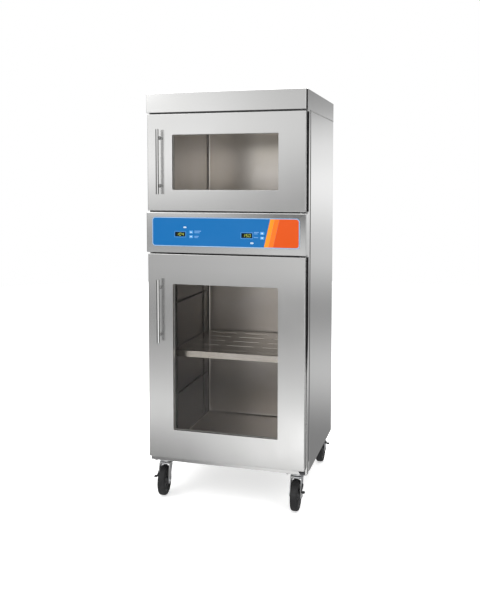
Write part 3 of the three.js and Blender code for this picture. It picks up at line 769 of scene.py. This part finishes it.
# Black foam strips on the front frame, beside each door's edges: dark pieces put in the gaps where there is only shade,
# painted shade.
def gap_shade_strips():
    for name, (span, win, hz) in DOORS.items():
        s = Solid()
        # Beside the tall door the strip tapers downwards until it stays behind the door's edge.
        z0, z1 = span[0] + 1, span[1] - 1
        lo, hi = (430.0, 690.0) if name == "lower_door" else (z0 + 2.0, z0 + 3.0)
        low = 333.4 if name == "lower_door" else 338.0
        for d, e in ((1, 317.0), (-1, 325.0)):
            edge = lambda g, d=d, e=e: [(d * a, b) for a, b in ((e + g, z0 + g), (low - g, z0 + g), (low - g, lo), (338.0 - g, hi), (338.0 - g, z1 - g), (e + g, z1 - g))][::d]
            s.plate(edge, [], XZ, 39.05, 39.95, 0.3)
            # Edge foam folded back round the frame's outer corner, painted shade in the side gap.
            bottom = hi - 110.0 if name == "lower_door" else z0
            fold = lambda y, z: [(d * a, b, z) for a, b in fillet([(338.04, 39.1), (338.5, 39.1), (338.5, y), (338.04, y)], [0, 0.3, 0.3, 0], 3)]
            s.loft([fold(40.4 if name == "lower_door" else 52.0, bottom), fold(52.0, hi + 60.0), fold(52.0, z1)])
        # Black strips across the gaps above and below the doors, painted shade.
        for z0, z1 in (((1621.6, 1626.5), (1217.4, 1222.5)) if name == "upper_door" else ((1044.4, 1049.7),)):
            s.plate(lambda g, q=(z0, z1): rrect(-337.4 + g, 305.0 - g, q[0] + g, q[1] - g, 1.0, 4), [], XZ, 39.05, 39.95, 0.3)
        make(name + "_buffers", s, ["foam"], "cabinet")


# Chamber liners: welded boxes with coved corners.
def liners():
    for name, z0, z1 in (("upper", 1255.0, 1590.0), ("lower", 212.0, 1010.0)):
        c, t, n = 9.0, 1.2, 5
        ring = lambda i, y, r: [(a, y, b) for a, b in rrect(-262 + i, 262 - i, z0 + i, z1 - i, max(r - i, 0.4), n)]
        rings = [[(a, 585 + t, b) for a, b in rrect(-262 + c, 262 - c, z0 + c, z1 - c, 0.4, n)]]
        rings += [ring(-t + i * (c + t) / c, 585 + t - d * (c + t) / c, c) for i, d in arc(c, 5)][1:]
        rings += [ring(-t, 42.3, c), ring(0, 42.3, c)]
        rings += [ring(i, 585 - d, c) for i, d in arc(c, 5)][::-1]
        s = Solid().loft(rings)
        # Side walls take the second, darker tone: painted shade.
        s.k = [1 if abs(sum(s.v[i][0] for i in f) / len(f)) > 258 else 0 for f in s.f]
        make(name + "_chamber", s, ["liner", "liner_side"] if name == "upper" else ["liner_low", "liner_low_side"], "cabinet", [name + "_liner"])


def shelf():
    s = Solid()
    holes = []
    for i in range(3):
        for j in range(5):
            x, y = -160 + i * 160, 145 + j * 94
            holes.append(lambda g, x=x, y=y: rrect(x - 60 - g, x + 60 + g, y - 6 - g, y + 6 + g, 6 + g, 6))
    s.plate(lambda g: rrect(-255.5, 255.5, 98.0, 569.0, 0.05, 1), holes, XY, 620.5, 622.0)
    for y, d in ((95.0, 1), (572.0, -1)):
        path = [(y, 596.0), (y, 622.0), (y + 3.0 * d, 622.0)]
        if d > 0:
            path = path[::-1]
        s.prism(strip(path, 1.5, 2.6, 5), YZ, -255.5, 255.5)
    make("shelf_sheet", s, ["shelf"], "cabinet", ["shelf"])


# Control module.
def bezel():
    n = 5
    ring = lambda i, y: [(a, y, b) for a, b in rrect(-338 + i, 338 - i, 1050 + i, 1217 - i, max(3.4 - i, 0.3), n)]
    hole = lambda y: [(a, y, b) for a, b in rrect(-296, 296, 1090, 1185, 6, n)]
    r, t = 2.4, 1.5
    rings = [hole(2.0)] + [ring(i, 2.0 + d) for i, d in arc(r, 5)]
    rings += [ring(0, 39.3), ring(0.3, 39.6), ring(t, 39.6)]
    rings += [ring(t + i, 2.0 + t + d) for i, d in arc(r - t, 3)][::-1]
    rings += [hole(3.5)]
    make("bezel_shell", Solid().loft(rings, closed=True), ["bezel"], "cabinet", ["control_bezel"])


DISPLAYS = {"left": (-211.0, -167.0, 1118.5, 1136.5), "right": (73.5, 118.5, 1117.5, 1136.5)}
ARROW_X = {"left": -141.0, "right": 160.0}
POWER = {"left": (-168.0, 1156.0), "right": (117.5, 1097.0)}


def overlay():
    s = Solid()
    holes = []
    for side in ("left", "right"):
        a0, a1, b0, b1 = DISPLAYS[side]
        holes.append(lambda g, q=(a0, a1, b0, b1): rrect(q[0] - g, q[1] + g, q[2] - g, q[3] + g, 0.6 + g, 2))
        for z in (1137.0, 1118.0):
            x = ARROW_X[side]
            holes.append(lambda g, x=x, z=z: rrect(x - 9 - g, x + 9 + g, z - 6.5 - g, z + 6.5 + g, 3 + g, 5))
        px, pz = POWER[side]
        holes.append(lambda g, x=px, z=pz: rrect(x - 7 - g, x + 7 + g, z - 3.8 - g, z + 3.8 + g, 3.75 + g, 8))
    s.plate(lambda g: rrect(-312.5 + g, 312.5 - g, 1077 + g, 1198 - g, 14 - g, 10), holes, XZ, 0.8, 1.7, 0.15)
    # Pale rim printed round the edge.
    s.plate(lambda g: rrect(-311.9, 311.9, 1077.6, 1197.4, 13.4, 10), [lambda g: rrect(-309.0, 309.0, 1080.5, 1194.5, 10.5, 10)], XZ, 0.72, 0.79, k=1)
    # Slanted colour bars at the right end.
    lean = 26.0
    bar = lambda x0, x1: [(x0, 1080.9), (x1, 1080.9), (x1 + lean, 1194.1), (x0 + lean, 1194.1)]
    s.prism(bar(167, 185), XZ, 0.72, 0.79, k=2)
    s.prism(bar(185.3, 204.7), XZ, 0.72, 0.79, k=3)
    end = rrect(205, 308.6, 1080.9, 1194.1, 10.1, 10)
    end = [p for p in end if p[0] > 240]
    s.prism(end + [(205 + lean, 1194.1), (205, 1080.9)], XZ, 0.72, 0.79, k=4)
    # Blank legend blocks beside the keys and round the displays.
    for x0, x1, z0, z1 in ((-127, -98, 1139.5, 1143.0), (-127, -104, 1133.5, 1136.5), (-127, -108, 1118.5, 1121.5), (-127, -112, 1113.5, 1116.0),
                           (126, 146, 1139.0, 1142.0), (126, 141, 1133.5, 1136.0), (126, 143, 1118.5, 1121.0)):
        s.plate(lambda g, q=(x0, x1, z0, z1): rrect(q[0], q[1], q[2], q[3], 0.9, 3), [], XZ, 0.72, 0.79, k=5)
    for side in ("left", "right"):
        a0, a1, b0, b1 = DISPLAYS[side]
        s.plate(lambda g, q=(a0, a1, b0, b1): rrect(q[0] - 3.4, q[1] + 3.4, q[2] - 3.4, q[3] + 3.4, 3.6, 5),
                [lambda g, q=(a0, a1, b0, b1): rrect(q[0] - 2.4, q[1] + 2.4, q[2] - 2.4, q[3] + 2.4, 2.6, 5)], XZ, 0.72, 0.79, k=5)
    make("overlay_print", s, ["blue", "pale", "amber", "tangerine", "vermilion", "label"], "cabinet", ["control_overlay"])


SEGMENTS = {"0": "abcdef", "1": "bc", "2": "abged", "3": "abgcd", "4": "fgbc", "5": "afgcd", "6": "afgedc", "7": "abc", "8": "abcdefg", "9": "abcdfg"}


def digit(s, ch, x, z, w, h):
    """Seven slanted bars in a w by h cell, lit ones in material 1."""
    t = w * 0.17
    g = t * 0.22
    m = h / 2
    hor = lambda y: [(t * 0.55 + g, y), (t + g, y + t / 2), (w - t - g, y + t / 2), (w - t * 0.55 - g, y), (w - t - g, y - t / 2), (t + g, y - t / 2)]
    ver = lambda x0, y0, y1: [(x0, y0 + g), (x0 + t / 2, y0 + t / 2 + g), (x0 + t / 2, y1 - t / 2 - g), (x0, y1 - g), (x0 - t / 2, y1 - t / 2 - g), (x0 - t / 2, y0 + t / 2 + g)]
    bars = {"a": hor(h - t / 2), "g": hor(m), "d": hor(t / 2), "f": ver(t / 2, m, h - t / 2), "b": ver(w - t / 2, m, h - t / 2),
            "e": ver(t / 2, t / 2, m), "c": ver(w - t / 2, t / 2, m)}
    for key, pts in bars.items():
        on = key in SEGMENTS[ch]
        out = [(x + a + b * 0.12, z + b) for a, b in pts]
        s.prism(out, XZ, 1.0 if on else 1.04, 1.08, k=1 if on else 2)


def displays():
    for side, text in (("left", "104"), ("right", "150")):
        a0, a1, b0, b1 = DISPLAYS[side]
        s = Solid()
        s.plate(lambda g: rrect(a0 + 0.3 + g, a1 - 0.3 - g, b0 + 0.3 + g, b1 - 0.3 - g, 0.6, 3), [], XZ, 1.1, 8.7, 0.3)
        w, h, gap = 8.4, 12.6, 3.6
        x = (a0 + a1) / 2 - (3 * w + 2 * gap) / 2 - 0.8
        for ch in text:
            digit(s, ch, x, (b0 + b1 - h) / 2, w, h)
            x += w + gap
        make(side + "_readout", s, ["lens", "on", "off"], "cabinet", [side + "_display"], 50)


def keys():
    for side in ("left", "right"):
        x = ARROW_X[side]
        for word, z, up in (("up", 1137.0, 1), ("down", 1118.0, -1)):
            s = Solid()
            r = lambda i, y: [(a, y, b) for a, b in rrect(x - 8.5 + i, x + 8.5 - i, z - 6 + i, z + 6 - i, max(2.6 - i, 0.6), 5)]
            s.loft([r(0, 7.6), r(0, 1.0), r(0.18, 0.62), r(0.6, 0.38), r(1.3, 0.25), r(2.2, 0.2)])
            tri = fillet([(x - 4.6, z - 2.4 * up), (x + 4.6, z - 2.4 * up), (x, z + 3.1 * up)], 0.6, 3)
            s.prism(tri, XZ, 0.13, 0.19, k=1)
            make("%s_%s_pad" % (side, word), s, ["key", "icon"], "%s_%s_key" % (side, word), ["%s_%s_key" % (side, word)])
        px, pz = POWER[side]
        s = Solid()
        r = lambda i, y: [(a, y, b) for a, b in rrect(px - 6.5 + i, px + 6.5 - i, pz - 3.3 + i, pz + 3.3 - i, max(3.2 - i, 0.6), 8)]
        s.loft([r(0, 7.6), r(0, 1.0), r(0.18, 0.62), r(0.6, 0.38), r(1.2, 0.25), r(1.9, 0.2)])
        ro, ri = 1.9, 1.4
        sweep = [math.radians(130 + 280 * i / 24) for i in range(25)]
        ring = [(px + ro * math.cos(t), pz + ro * math.sin(t)) for t in sweep] + [(px + ri * math.cos(t), pz + ri * math.sin(t)) for t in reversed(sweep)]
        s.prism(ring, XZ, 0.13, 0.19, k=1)
        s.prism([(px - 0.28, pz + 0.5), (px + 0.28, pz + 0.5), (px + 0.28, pz + 2.3), (px - 0.28, pz + 2.3)], XZ, 0.13, 0.19, k=1)
        make(side + "_power_pad", s, ["icon", "blue"], side + "_power_key", [side + "_power_key"])


# Mains inlet: flanged socket with three blades and two screws.
def inlet():
    s = Solid()
    well = lambda g: fillet([(-218 - g, 1100 - g), (-182 + g, 1100 - g), (-182 + g, 1111 + g), (-187 + g, 1116 + g), (-213 - g, 1116 + g), (-218 - g, 1111 + g)], 1.2, 3)
    s.plate(lambda g: rrect(-228 + g, -172 - g, 1090 + g, 1126 - g, 5.0, 6), [well], XZ, 640.3, 643.3, 0.6)
    rim = lambda g, y: [(a, y, b) for a, b in well(g)]
    s.loft([rim(3.0, 640.4), rim(3.0, 616.0), rim(0, 616.5), rim(0, 640.4)], closed=True)
    s.prism(well(0.05), XZ, 621.0, 624.0)
    for x, z in ((-207, 1106), (-193, 1106), (-200, 1111)):
        s.plate(lambda g, x=x, z=z: rrect(x - 1.0 + g, x + 1.0 - g, z - 2.2 + g, z + 2.2 - g, 0.4, 2), [], XZ, 623.5, 639.0, 0.4, k=1)
    make("mains_inlet", s, ["inlet", "zinc"], "cabinet", ["power_inlet"])
    f = Solid()
    for x in (-223.2, -176.8):
        button_head(f, x, 643.3, 1108, "y", 2.6, 1.6)
    make("inlet_screws", f, ["screw"], "cabinet")


# Casters. Local frame: pivot at x = y = 0, wheel trailing towards -y.
def caster(name, x, y, turn, side):
    ct, st = math.cos(turn), math.sin(turn)
    place = lambda p: (x + ct * p[0] - st * p[1], y + st * p[0] + ct * p[1], p[2])
    ay, az = -26.0, 62.5

    s = Solid()
    holes = [lambda g, a=a, b=b: circle(a, b, 4.5 + g, 20)[::1] for a in (-36, 36) for b in (-23, 23)]
    s.plate(lambda g: rrect(-46 + g, 46 - g, -33 + g, 33 - g, 9 - g, 8), holes, XY, 150.7, 154.7, 0.6)
    s.turn([(9.6, 126.4), (10.7, 126.7), (11, 127.2), (11, 127.7), (7.5, 127.7), (7.5, 137.6), (18, 137.6), (22, 138.2), (24.2, 140.2), (25, 143), (25, 148.6), (26.6, 150.2), (28, 150.8)],
           (0, 0, 0), "z", 48)
    make(name + "_plate", s.moved(place), ["zinc"], "cabinet", [name + "_caster_plate"])
    b = Solid()
    for a in (-36, 36):
        for c in (-23, 23):
            b.turn([(6.4, 147.2), (6.9, 147.6), (6.9, 150.2), (6.4, 150.68)], (a, c, 0), "z", 6)
            b.turn([(3.6, 144.8), (4.0, 145.4), (4.0, 148.0)], (a, c, 0), "z", 20)
            b.turn([(8.4, 150.1), (8.8, 150.3), (8.8, 150.66)], (a, c, 0), "z", 24)
    make(name + "_bolts", b.moved(place), ["screw"], "cabinet", angle=25)

    # Fork: pressed yoke with a ball-race crown, raked legs, riveted axle.
    f = Solid()
    f.turn([(8.2, 128.4), (8.8, 128), (23.5, 128), (25.6, 129.0), (27, 131.4), (27, 134.4), (26, 136.2), (24, 136.9), (8.8, 136.9), (8.2, 136.4)], (0, 0, 0), "z", 48, ring=True)
    leg = fillet([(21, 135.4), (-25, 135.4), (-41, 78), (-40, 54), (-26, 47), (-12, 54), (-10, 74), (18, 117)], [3, 9, 14, 11, 9, 11, 16, 7], 6)
    for x0, x1 in ((20.5, 24.0), (-24.0, -20.5)):
        f.plate(lambda g: [(a, c) for a, c in leg] if g == 0 else shrink(leg, g), [], YZ, x0, x1, 0.7)
    yoke = strip([(23.95, 121.0), (23.95, 136.0), (-23.95, 136.0), (-23.95, 121.0)], 3.4, 6.0, 6)
    f.loft([[(a, yy, c) for a, c in yoke] for yy in (-23.0, 17.0)])
    f.turn([(5.5, -23.5), (5.5, 23.5)], (0, ay, az), "x", 32)
    for d in (1, -1):
        f.turn([(7.0, d * 23.9), (7.4, d * 24.3), (7.4, d * 27.2), (6.8, d * 27.7)], (0, ay, az), "x", 6)
        f.turn([(4.6, d * 24.0), (4.6, d * 28.0), (4.0, d * 28.4)], (0, ay, az), "x", 24)
    f.turn([(3.0, side * 23.0), (3.0, side * 28.2), (2.6, side * 28.6)], (0, -11, 100), "x", 24)
    make(name + "_yoke", f.moved(place), ["zinc"], name + "_swivel", [name + "_fork"])

    # Wheel: tyre bonded to a ribbed core, with pressed bearing covers.
    w = Solid()
    half = [(44.0, 12.6), (45.5, 14.6), (48.0, 15.6), (52.0, 16.0), (54.5, 15.6), (55.2, 15.0), (56.2, 15.0), (57.2, 15.2), (59.6, 13.6), (61.4, 10.8), (62.2, 7.6), (62.5, 4.0)]
    w.turn([(r, -h) for r, h in half] + [(r, h) for r, h in half[::-1]], (0, ay, az), "x", 96, ring=True)
    make(name + "_tyre", w.moved(place), ["tyre"], name + "_roller", [name + "_wheel"], 40)
    c = Solid()
    half = [(6.4, 18.4), (7.0, 19.0), (13.4, 19.0), (14.4, 18.2), (15.6, 12.0), (17.5, 8.6), (20.0, 8.0), (37.0, 8.0), (39.4, 9.0), (40.6, 12.4), (42.0, 13.6), (44.2, 13.4)]
    c.turn([(r, -h) for r, h in half] + [(r, h) for r, h in half[::-1]], (0, ay, az), "x", 72, ring=True)
    for d in (1, -1):
        for i in range(6):
            t = math.radians(60 * i + 12)
            rib = Solid()
            rings = []
            for rr, hw, hh in ((13.5, 2.6, 15.6), (20, 2.0, 12.2), (36, 2.0, 11.6), (41.0, 2.4, 12.6)):
                rings.append([(d * 7.0, rr, -hw), (d * 7.0, rr, hw), (d * (hh - 0.6), rr, hw), (d * hh, rr, hw - 0.6), (d * hh, rr, -hw + 0.6), (d * (hh - 0.6), rr, -hw)])
            rib.loft(rings)
            rib.moved(lambda p, t=t: (p[0], ay + p[1] * math.cos(t) - p[2] * math.sin(t), az + p[1] * math.sin(t) + p[2] * math.cos(t)))
            c.add(rib.v, rib.f)
        c.turn([(6.6, d * 18.9), (6.6, d * 19.3), (10.6, d * 19.5), (11.4, d * 18.9)], (0, ay, az), "x", 32, ring=True, k=1)
    make(name + "_core", c.moved(place), ["core", "zinc"], name + "_roller", angle=35)

    # Brake lever: bent arm with a ribbed foot pad.
    v = Solid()
    arm = fillet([(-4.5, 93), (-3, 100), (-7, 107), (-15, 107.5), (-43, 92), (-48, 88), (-48, 82), (-39, 82)], [3, 5, 5, 6, 5, 2, 2, 4], 5)
    hole = lambda g: circle(-11, 100, 3.4 + g, 24)
    a0, a1 = (24.8, 27.6) if side > 0 else (-27.6, -24.8)
    v.plate(lambda g: arm if g == 0 else shrink(arm, g), [hole], YZ, a0, a1, 0.5)
    x0, x1 = (27.0, 40.0) if side > 0 else (-40.0, -27.0)
    pad = lambda g, z: [(a, q, z) for a, q in rrect(x0 + g, x1 - g, -50 + g, -34 - g, 3.0, 5)]
    v.loft([pad(0.8, 80.0), pad(0.0, 80.8), pad(0.0, 84.2), pad(0.5, 84.9), pad(1.1, 85.1)])
    for i in range(4):
        q = -47.6 + 3.7 * i
        rib = lambda z, g: [(a, p, z) for a, p in rrect(x0 + 2.0 + g, x1 - 2.0 - g, q - 0.2 + g, q + 1.6 - g, 0.5, 3)]
        v.loft([rib(84.8, 0.0), rib(85.7, 0.0), rib(86.0, 0.35)])
    v.turn([(3.9, side * 27.4), (5.6, side * 27.4), (5.6, side * 28.2), (5.2, side * 28.6), (3.9, side * 28.6)], (0, -11, 100), "x", 28, ring=True)
    make(name + "_pedal", v.moved(place), ["lever"], name + "_lever", [name + "_brake"])


def shrink(outline, g):
    """Moves a counter-clockwise or clockwise outline inwards by g."""
    area = sum(outline[i - 1][0] * outline[i][1] - outline[i][0] * outline[i - 1][1] for i in range(len(outline)))
    sign = 1.0 if area > 0 else -1.0
    out = []
    n = len(outline)
    for i in range(n):
        a, p, b = Vector(outline[i - 1]), Vector(outline[i]), Vector(outline[(i + 1) % n])
        d0, d1 = (p - a).normalized(), (b - p).normalized()
        n0, n1 = Vector((-d0.y, d0.x)) * sign, Vector((-d1.y, d1.x)) * sign
        m = n0 + n1
        if m.length < 1e-6:
            m = n0
        m.normalize()
        k = g / max(0.4, m.dot(n0))
        out.append((p.x + m.x * k, p.y + m.y * k))
    return out


hood()
sides()
back()
back_screws()
hood_skirt_shade_bead()
seam_shade_fill()
for key, (span, win, hz) in DOORS.items():
    door(key, span, win, hz)
gap_shade_strips()
liners()
shelf()
bezel()
overlay()
displays()
keys()
inlet()
caster("front_left", -289, 82, 0.10, -1)
caster("front_right", 289, 82, 0.03, 1)
caster("rear_left", -289, 607, math.pi, 1)
caster("rear_right", 289, 607, math.pi, -1)

dress("front_frame", "case", 0.5)
dress("base_frame", "base", 0.6)
# The shelf racks take the lower side walls' dark tone, painted shade.
dress("left_shelf_rack", "liner_low_side", 0.4)
dress("right_shelf_rack", "liner_low_side", 0.4)
for d in DOORS:
    dress(d + "_outer_glass", "glass", 0.6)
    dress(d + "_inner_glass", "glass", 0.4)
    dress(d + "_top_hinge", "hinge", 0.4)
    dress(d + "_bottom_hinge", "hinge", 0.4)
dress("upper_probe", "zinc", 0.4)
dress("lower_probe", "zinc", 0.4)
dress("insulation_jacket", "wool", 3.0)
dress("upper_heater", "foil", 0.6)
dress("lower_heater", "foil", 0.6)
dress("control_board", "board", 0.2)


# -------------------------------------------------------------- light, camera

def studio():
    w = bpy.data.worlds.new("studio")
    scene.world = w
    w.use_nodes = True
    t = w.node_tree
    t.nodes.clear()
    new = t.nodes.new
    link = t.links.new
    tc = new("ShaderNodeTexCoord")
    sep = new("ShaderNodeSeparateXYZ")
    link(tc.outputs["Generated"], sep.inputs[0])

    def rng(value, lo, hi, a, b):
        n = new("ShaderNodeMapRange")
        n.interpolation_type = "SMOOTHSTEP"
        for key, v in (("From Min", lo), ("From Max", hi), ("To Min", a), ("To Max", b)):
            n.inputs[key].default_value = v
        link(value, n.inputs["Value"])
        return n.outputs["Result"]

    def ramp(value, stops):
        n = new("ShaderNodeValToRGB")
        n.color_ramp.interpolation = "EASE"
        e = n.color_ramp.elements
        while len(e) > 1:
            e.remove(e[-1])
        e[0].position = (stops[0][0] + 1) / 2
        e[0].color = (stops[0][1],) * 3 + (1,)
        for p, c in stops[1:]:
            q = e.new((p + 1) / 2)
            q.color = (c, c, c, 1)
        half = new("ShaderNodeMath")
        half.operation = "MULTIPLY_ADD"
        half.inputs[1].default_value = 0.5
        half.inputs[2].default_value = 0.5
        link(value, half.inputs[0])
        link(half.outputs[0], n.inputs[0])
        return n.outputs["Color"]

    def blend(fac, a, b):
        n = new("ShaderNodeMix")
        n.data_type = "RGBA"
        link(fac, n.inputs[0])
        link(a, n.inputs[6])
        link(b, n.inputs[7])
        return n.outputs[2]

    # Soft boxes and flags as bands by height: to the left front, the right front and the back.
    left = ramp(sep.outputs[2], [(-1.0, 0.44), (-0.52, 0.34), (-0.43, 0.14), (-0.39, 0.0), (-0.336, 0.0), (-0.292, 0.865), (-0.225, 0.40), (-0.16, 0.22),
                                 (-0.105, 0.48), (-0.07, 0.27), (-0.03, 0.57), (0.015, 1.02), (0.085, 0.80), (0.12, 0.74), (0.3, 0.62), (1.0, 0.90)])
    right = ramp(sep.outputs[2], [(-1.0, 0.50), (-0.50, 0.34), (-0.45, 0.0), (-0.395, 0.0), (-0.372, 0.58), (-0.336, 1.70), (-0.290, 0.64), (-0.24, 0.46), (-0.17, 0.12), (-0.135, 0.40), (-0.105, 0.80),
                                  (-0.075, 0.58), (-0.036, 0.0), (0.02, 0.42), (0.07, 0.64), (0.12, 0.47), (0.3, 0.50), (1.0, 0.90)])
    rear = ramp(sep.outputs[2], [(-1.0, 0.25), (-0.40, 0.18), (-0.32, 0.17), (-0.24, 0.41), (-0.165, 0.24), (-0.09, 0.46),
                                 (0.0, 0.71), (0.045, 0.62), (0.072, 0.50), (0.096, 0.29), (0.13, 0.21), (0.18, 0.30), (0.4, 0.5), (1.0, 0.90)])
    front = blend(rng(sep.outputs[0], -0.345, -0.205, 0.0, 1.0), left, right)
    # A tall strip light stands near the middle, in front.
    strip_box = ramp(sep.outputs[2], [(-1.0, 0.50), (-0.5, 0.50), (-0.30, 0.64), (-0.17, 0.92), (-0.06, 0.66), (0.03, 0.74), (0.12, 0.62), (0.3, 0.60), (1.0, 0.90)])
    front = blend(rng(sep.outputs[0], -0.12, 0.0, 0.0, 1.0), front, strip_box)
    behind = blend(rng(sep.outputs[0], -0.40, -0.05, 0.0, 1.0), left, rear)
    mixed = blend(rng(sep.outputs[1], -0.35, 0.35, 0.0, 1.0), front, behind)
    # Grey walls stand off to both sides, darker towards the floor.
    wall_left = ramp(sep.outputs[2], [(-1.0, 0.40), (-0.5, 0.38), (-0.32, 0.30), (-0.22, 0.18), (-0.15, 0.15), (-0.06, 0.14), (0.0, 0.12), (0.06, 0.12), (0.085, 0.55), (0.11, 0.76),
                                      (0.25, 0.66), (0.4, 0.58), (1.0, 0.90)])
    wall_right = ramp(sep.outputs[2], [(-1.0, 0.40), (-0.5, 0.38), (-0.32, 0.30), (-0.22, 0.18), (-0.15, 0.15), (-0.06, 0.12), (0.0, 0.10), (0.06, 0.11), (0.12, 0.25), (0.25, 0.40),
                                       (0.4, 0.50), (1.0, 0.90)])
    mixed = blend(rng(sep.outputs[0], -0.64, -0.44, 1.0, 0.0), mixed, wall_left)
    side = blend(rng(sep.outputs[1], -0.20, 0.20, 0.0, 1.0), rng(sep.outputs[0], 0.70, 0.88, 0.0, 1.0), rng(sep.outputs[0], 0.36, 0.58, 0.0, 1.0))
    mixed = blend(side, mixed, wall_right)
    back = new("ShaderNodeBackground")
    link(mixed, back.inputs["Color"])
    back.inputs["Strength"].default_value = 1.56
    plain = new("ShaderNodeBackground")
    plain.inputs["Color"].default_value = (1, 1, 1, 1)
    plain.inputs["Strength"].default_value = 1.0
    path = new("ShaderNodeLightPath")
    pick = new("ShaderNodeMixShader")
    link(path.outputs["Is Camera Ray"], pick.inputs[0])
    link(back.outputs[0], pick.inputs[1])
    link(plain.outputs[0], pick.inputs[2])
    out = new("ShaderNodeOutputWorld")
    link(pick.outputs[0], out.inputs["Surface"])


def lamp(name, loc, aim, size, power, tone=(1, 1, 1)):
    d = bpy.data.lights.new(name, "AREA")
    d.shape = "RECTANGLE"
    d.size, d.size_y = size
    d.energy = power
    d.color = tone
    o = bpy.data.objects.new(name, d)
    scene.collection.objects.link(o)
    o.location = loc
    o.rotation_euler = (Vector(aim) - Vector(loc)).to_track_quat("-Z", "Y").to_euler()
    return o


def floor():
    m = Nodes("studio_floor")
    grain = m.noise(3.0, 3.0)
    m.set(Base_Color=m.mix(grain, (0.90, 0.90, 0.90), (0.93, 0.93, 0.93)), Roughness=m.ranged(grain, 0.3, 0.7, 0.8, 0.95))
    m.set(Emission_Color=(1.0, 1.0, 1.0), Emission_Strength=0.5)
    clear = m.new("ShaderNodeBsdfTransparent")
    path = m.new("ShaderNodeLightPath")
    pick = m.new("ShaderNodeMixShader")
    m.link(path.outputs["Is Glossy Ray"], pick.inputs[0])
    m.link(m.b.outputs[0], pick.inputs[1])
    m.link(clear.outputs[0], pick.inputs[2])
    m.link(pick.outputs[0], m.out.inputs["Surface"])
    me = bpy.data.meshes.new("floor")
    n = 64
    pts = [(0.0 + 7.0 * math.cos(2 * math.pi * i / n), 7.0 * math.sin(2 * math.pi * i / n), -0.0005) for i in range(n)]
    me.from_pydata(pts, [], [tuple(range(n))])
    me.materials.append(m.mat)
    o = bpy.data.objects.new("floor", me)
    scene.collection.objects.link(o)


studio()
floor()
lamp("key", (-2.6, -3.2, 3.4), (0, 0, 0.9), (2.4, 2.4), 55)
lamp("fill", (2.8, -1.6, 2.6), (0, 0, 0.8), (2.0, 2.0), 12)
lamp("top", (0.2, 0.2, 4.0), (0, 0, 0), (3.0, 3.0), 80)

scene.view_settings.view_transform = "Standard"
scene.view_settings.look = "None"
scene.view_settings.exposure = 0.0
scene.view_settings.gamma = 1.0

cam = bpy.data.cameras.new("camera")
cam.lens = 45.655
cam.sensor_width = 36.0
cam.shift_x = 0.0
cam.shift_y = -0.12
cam.clip_start = 0.05
cam.clip_end = 60.0
camera = bpy.data.objects.new("camera", cam)
scene.collection.objects.link(camera)
camera.location = (0.9182, -3.2666, 1.3392)
camera.rotation_euler = (math.pi / 2 - 0.0595, 0.0, 0.2821)
scene.camera = camera

bpy.context.view_layer.update()
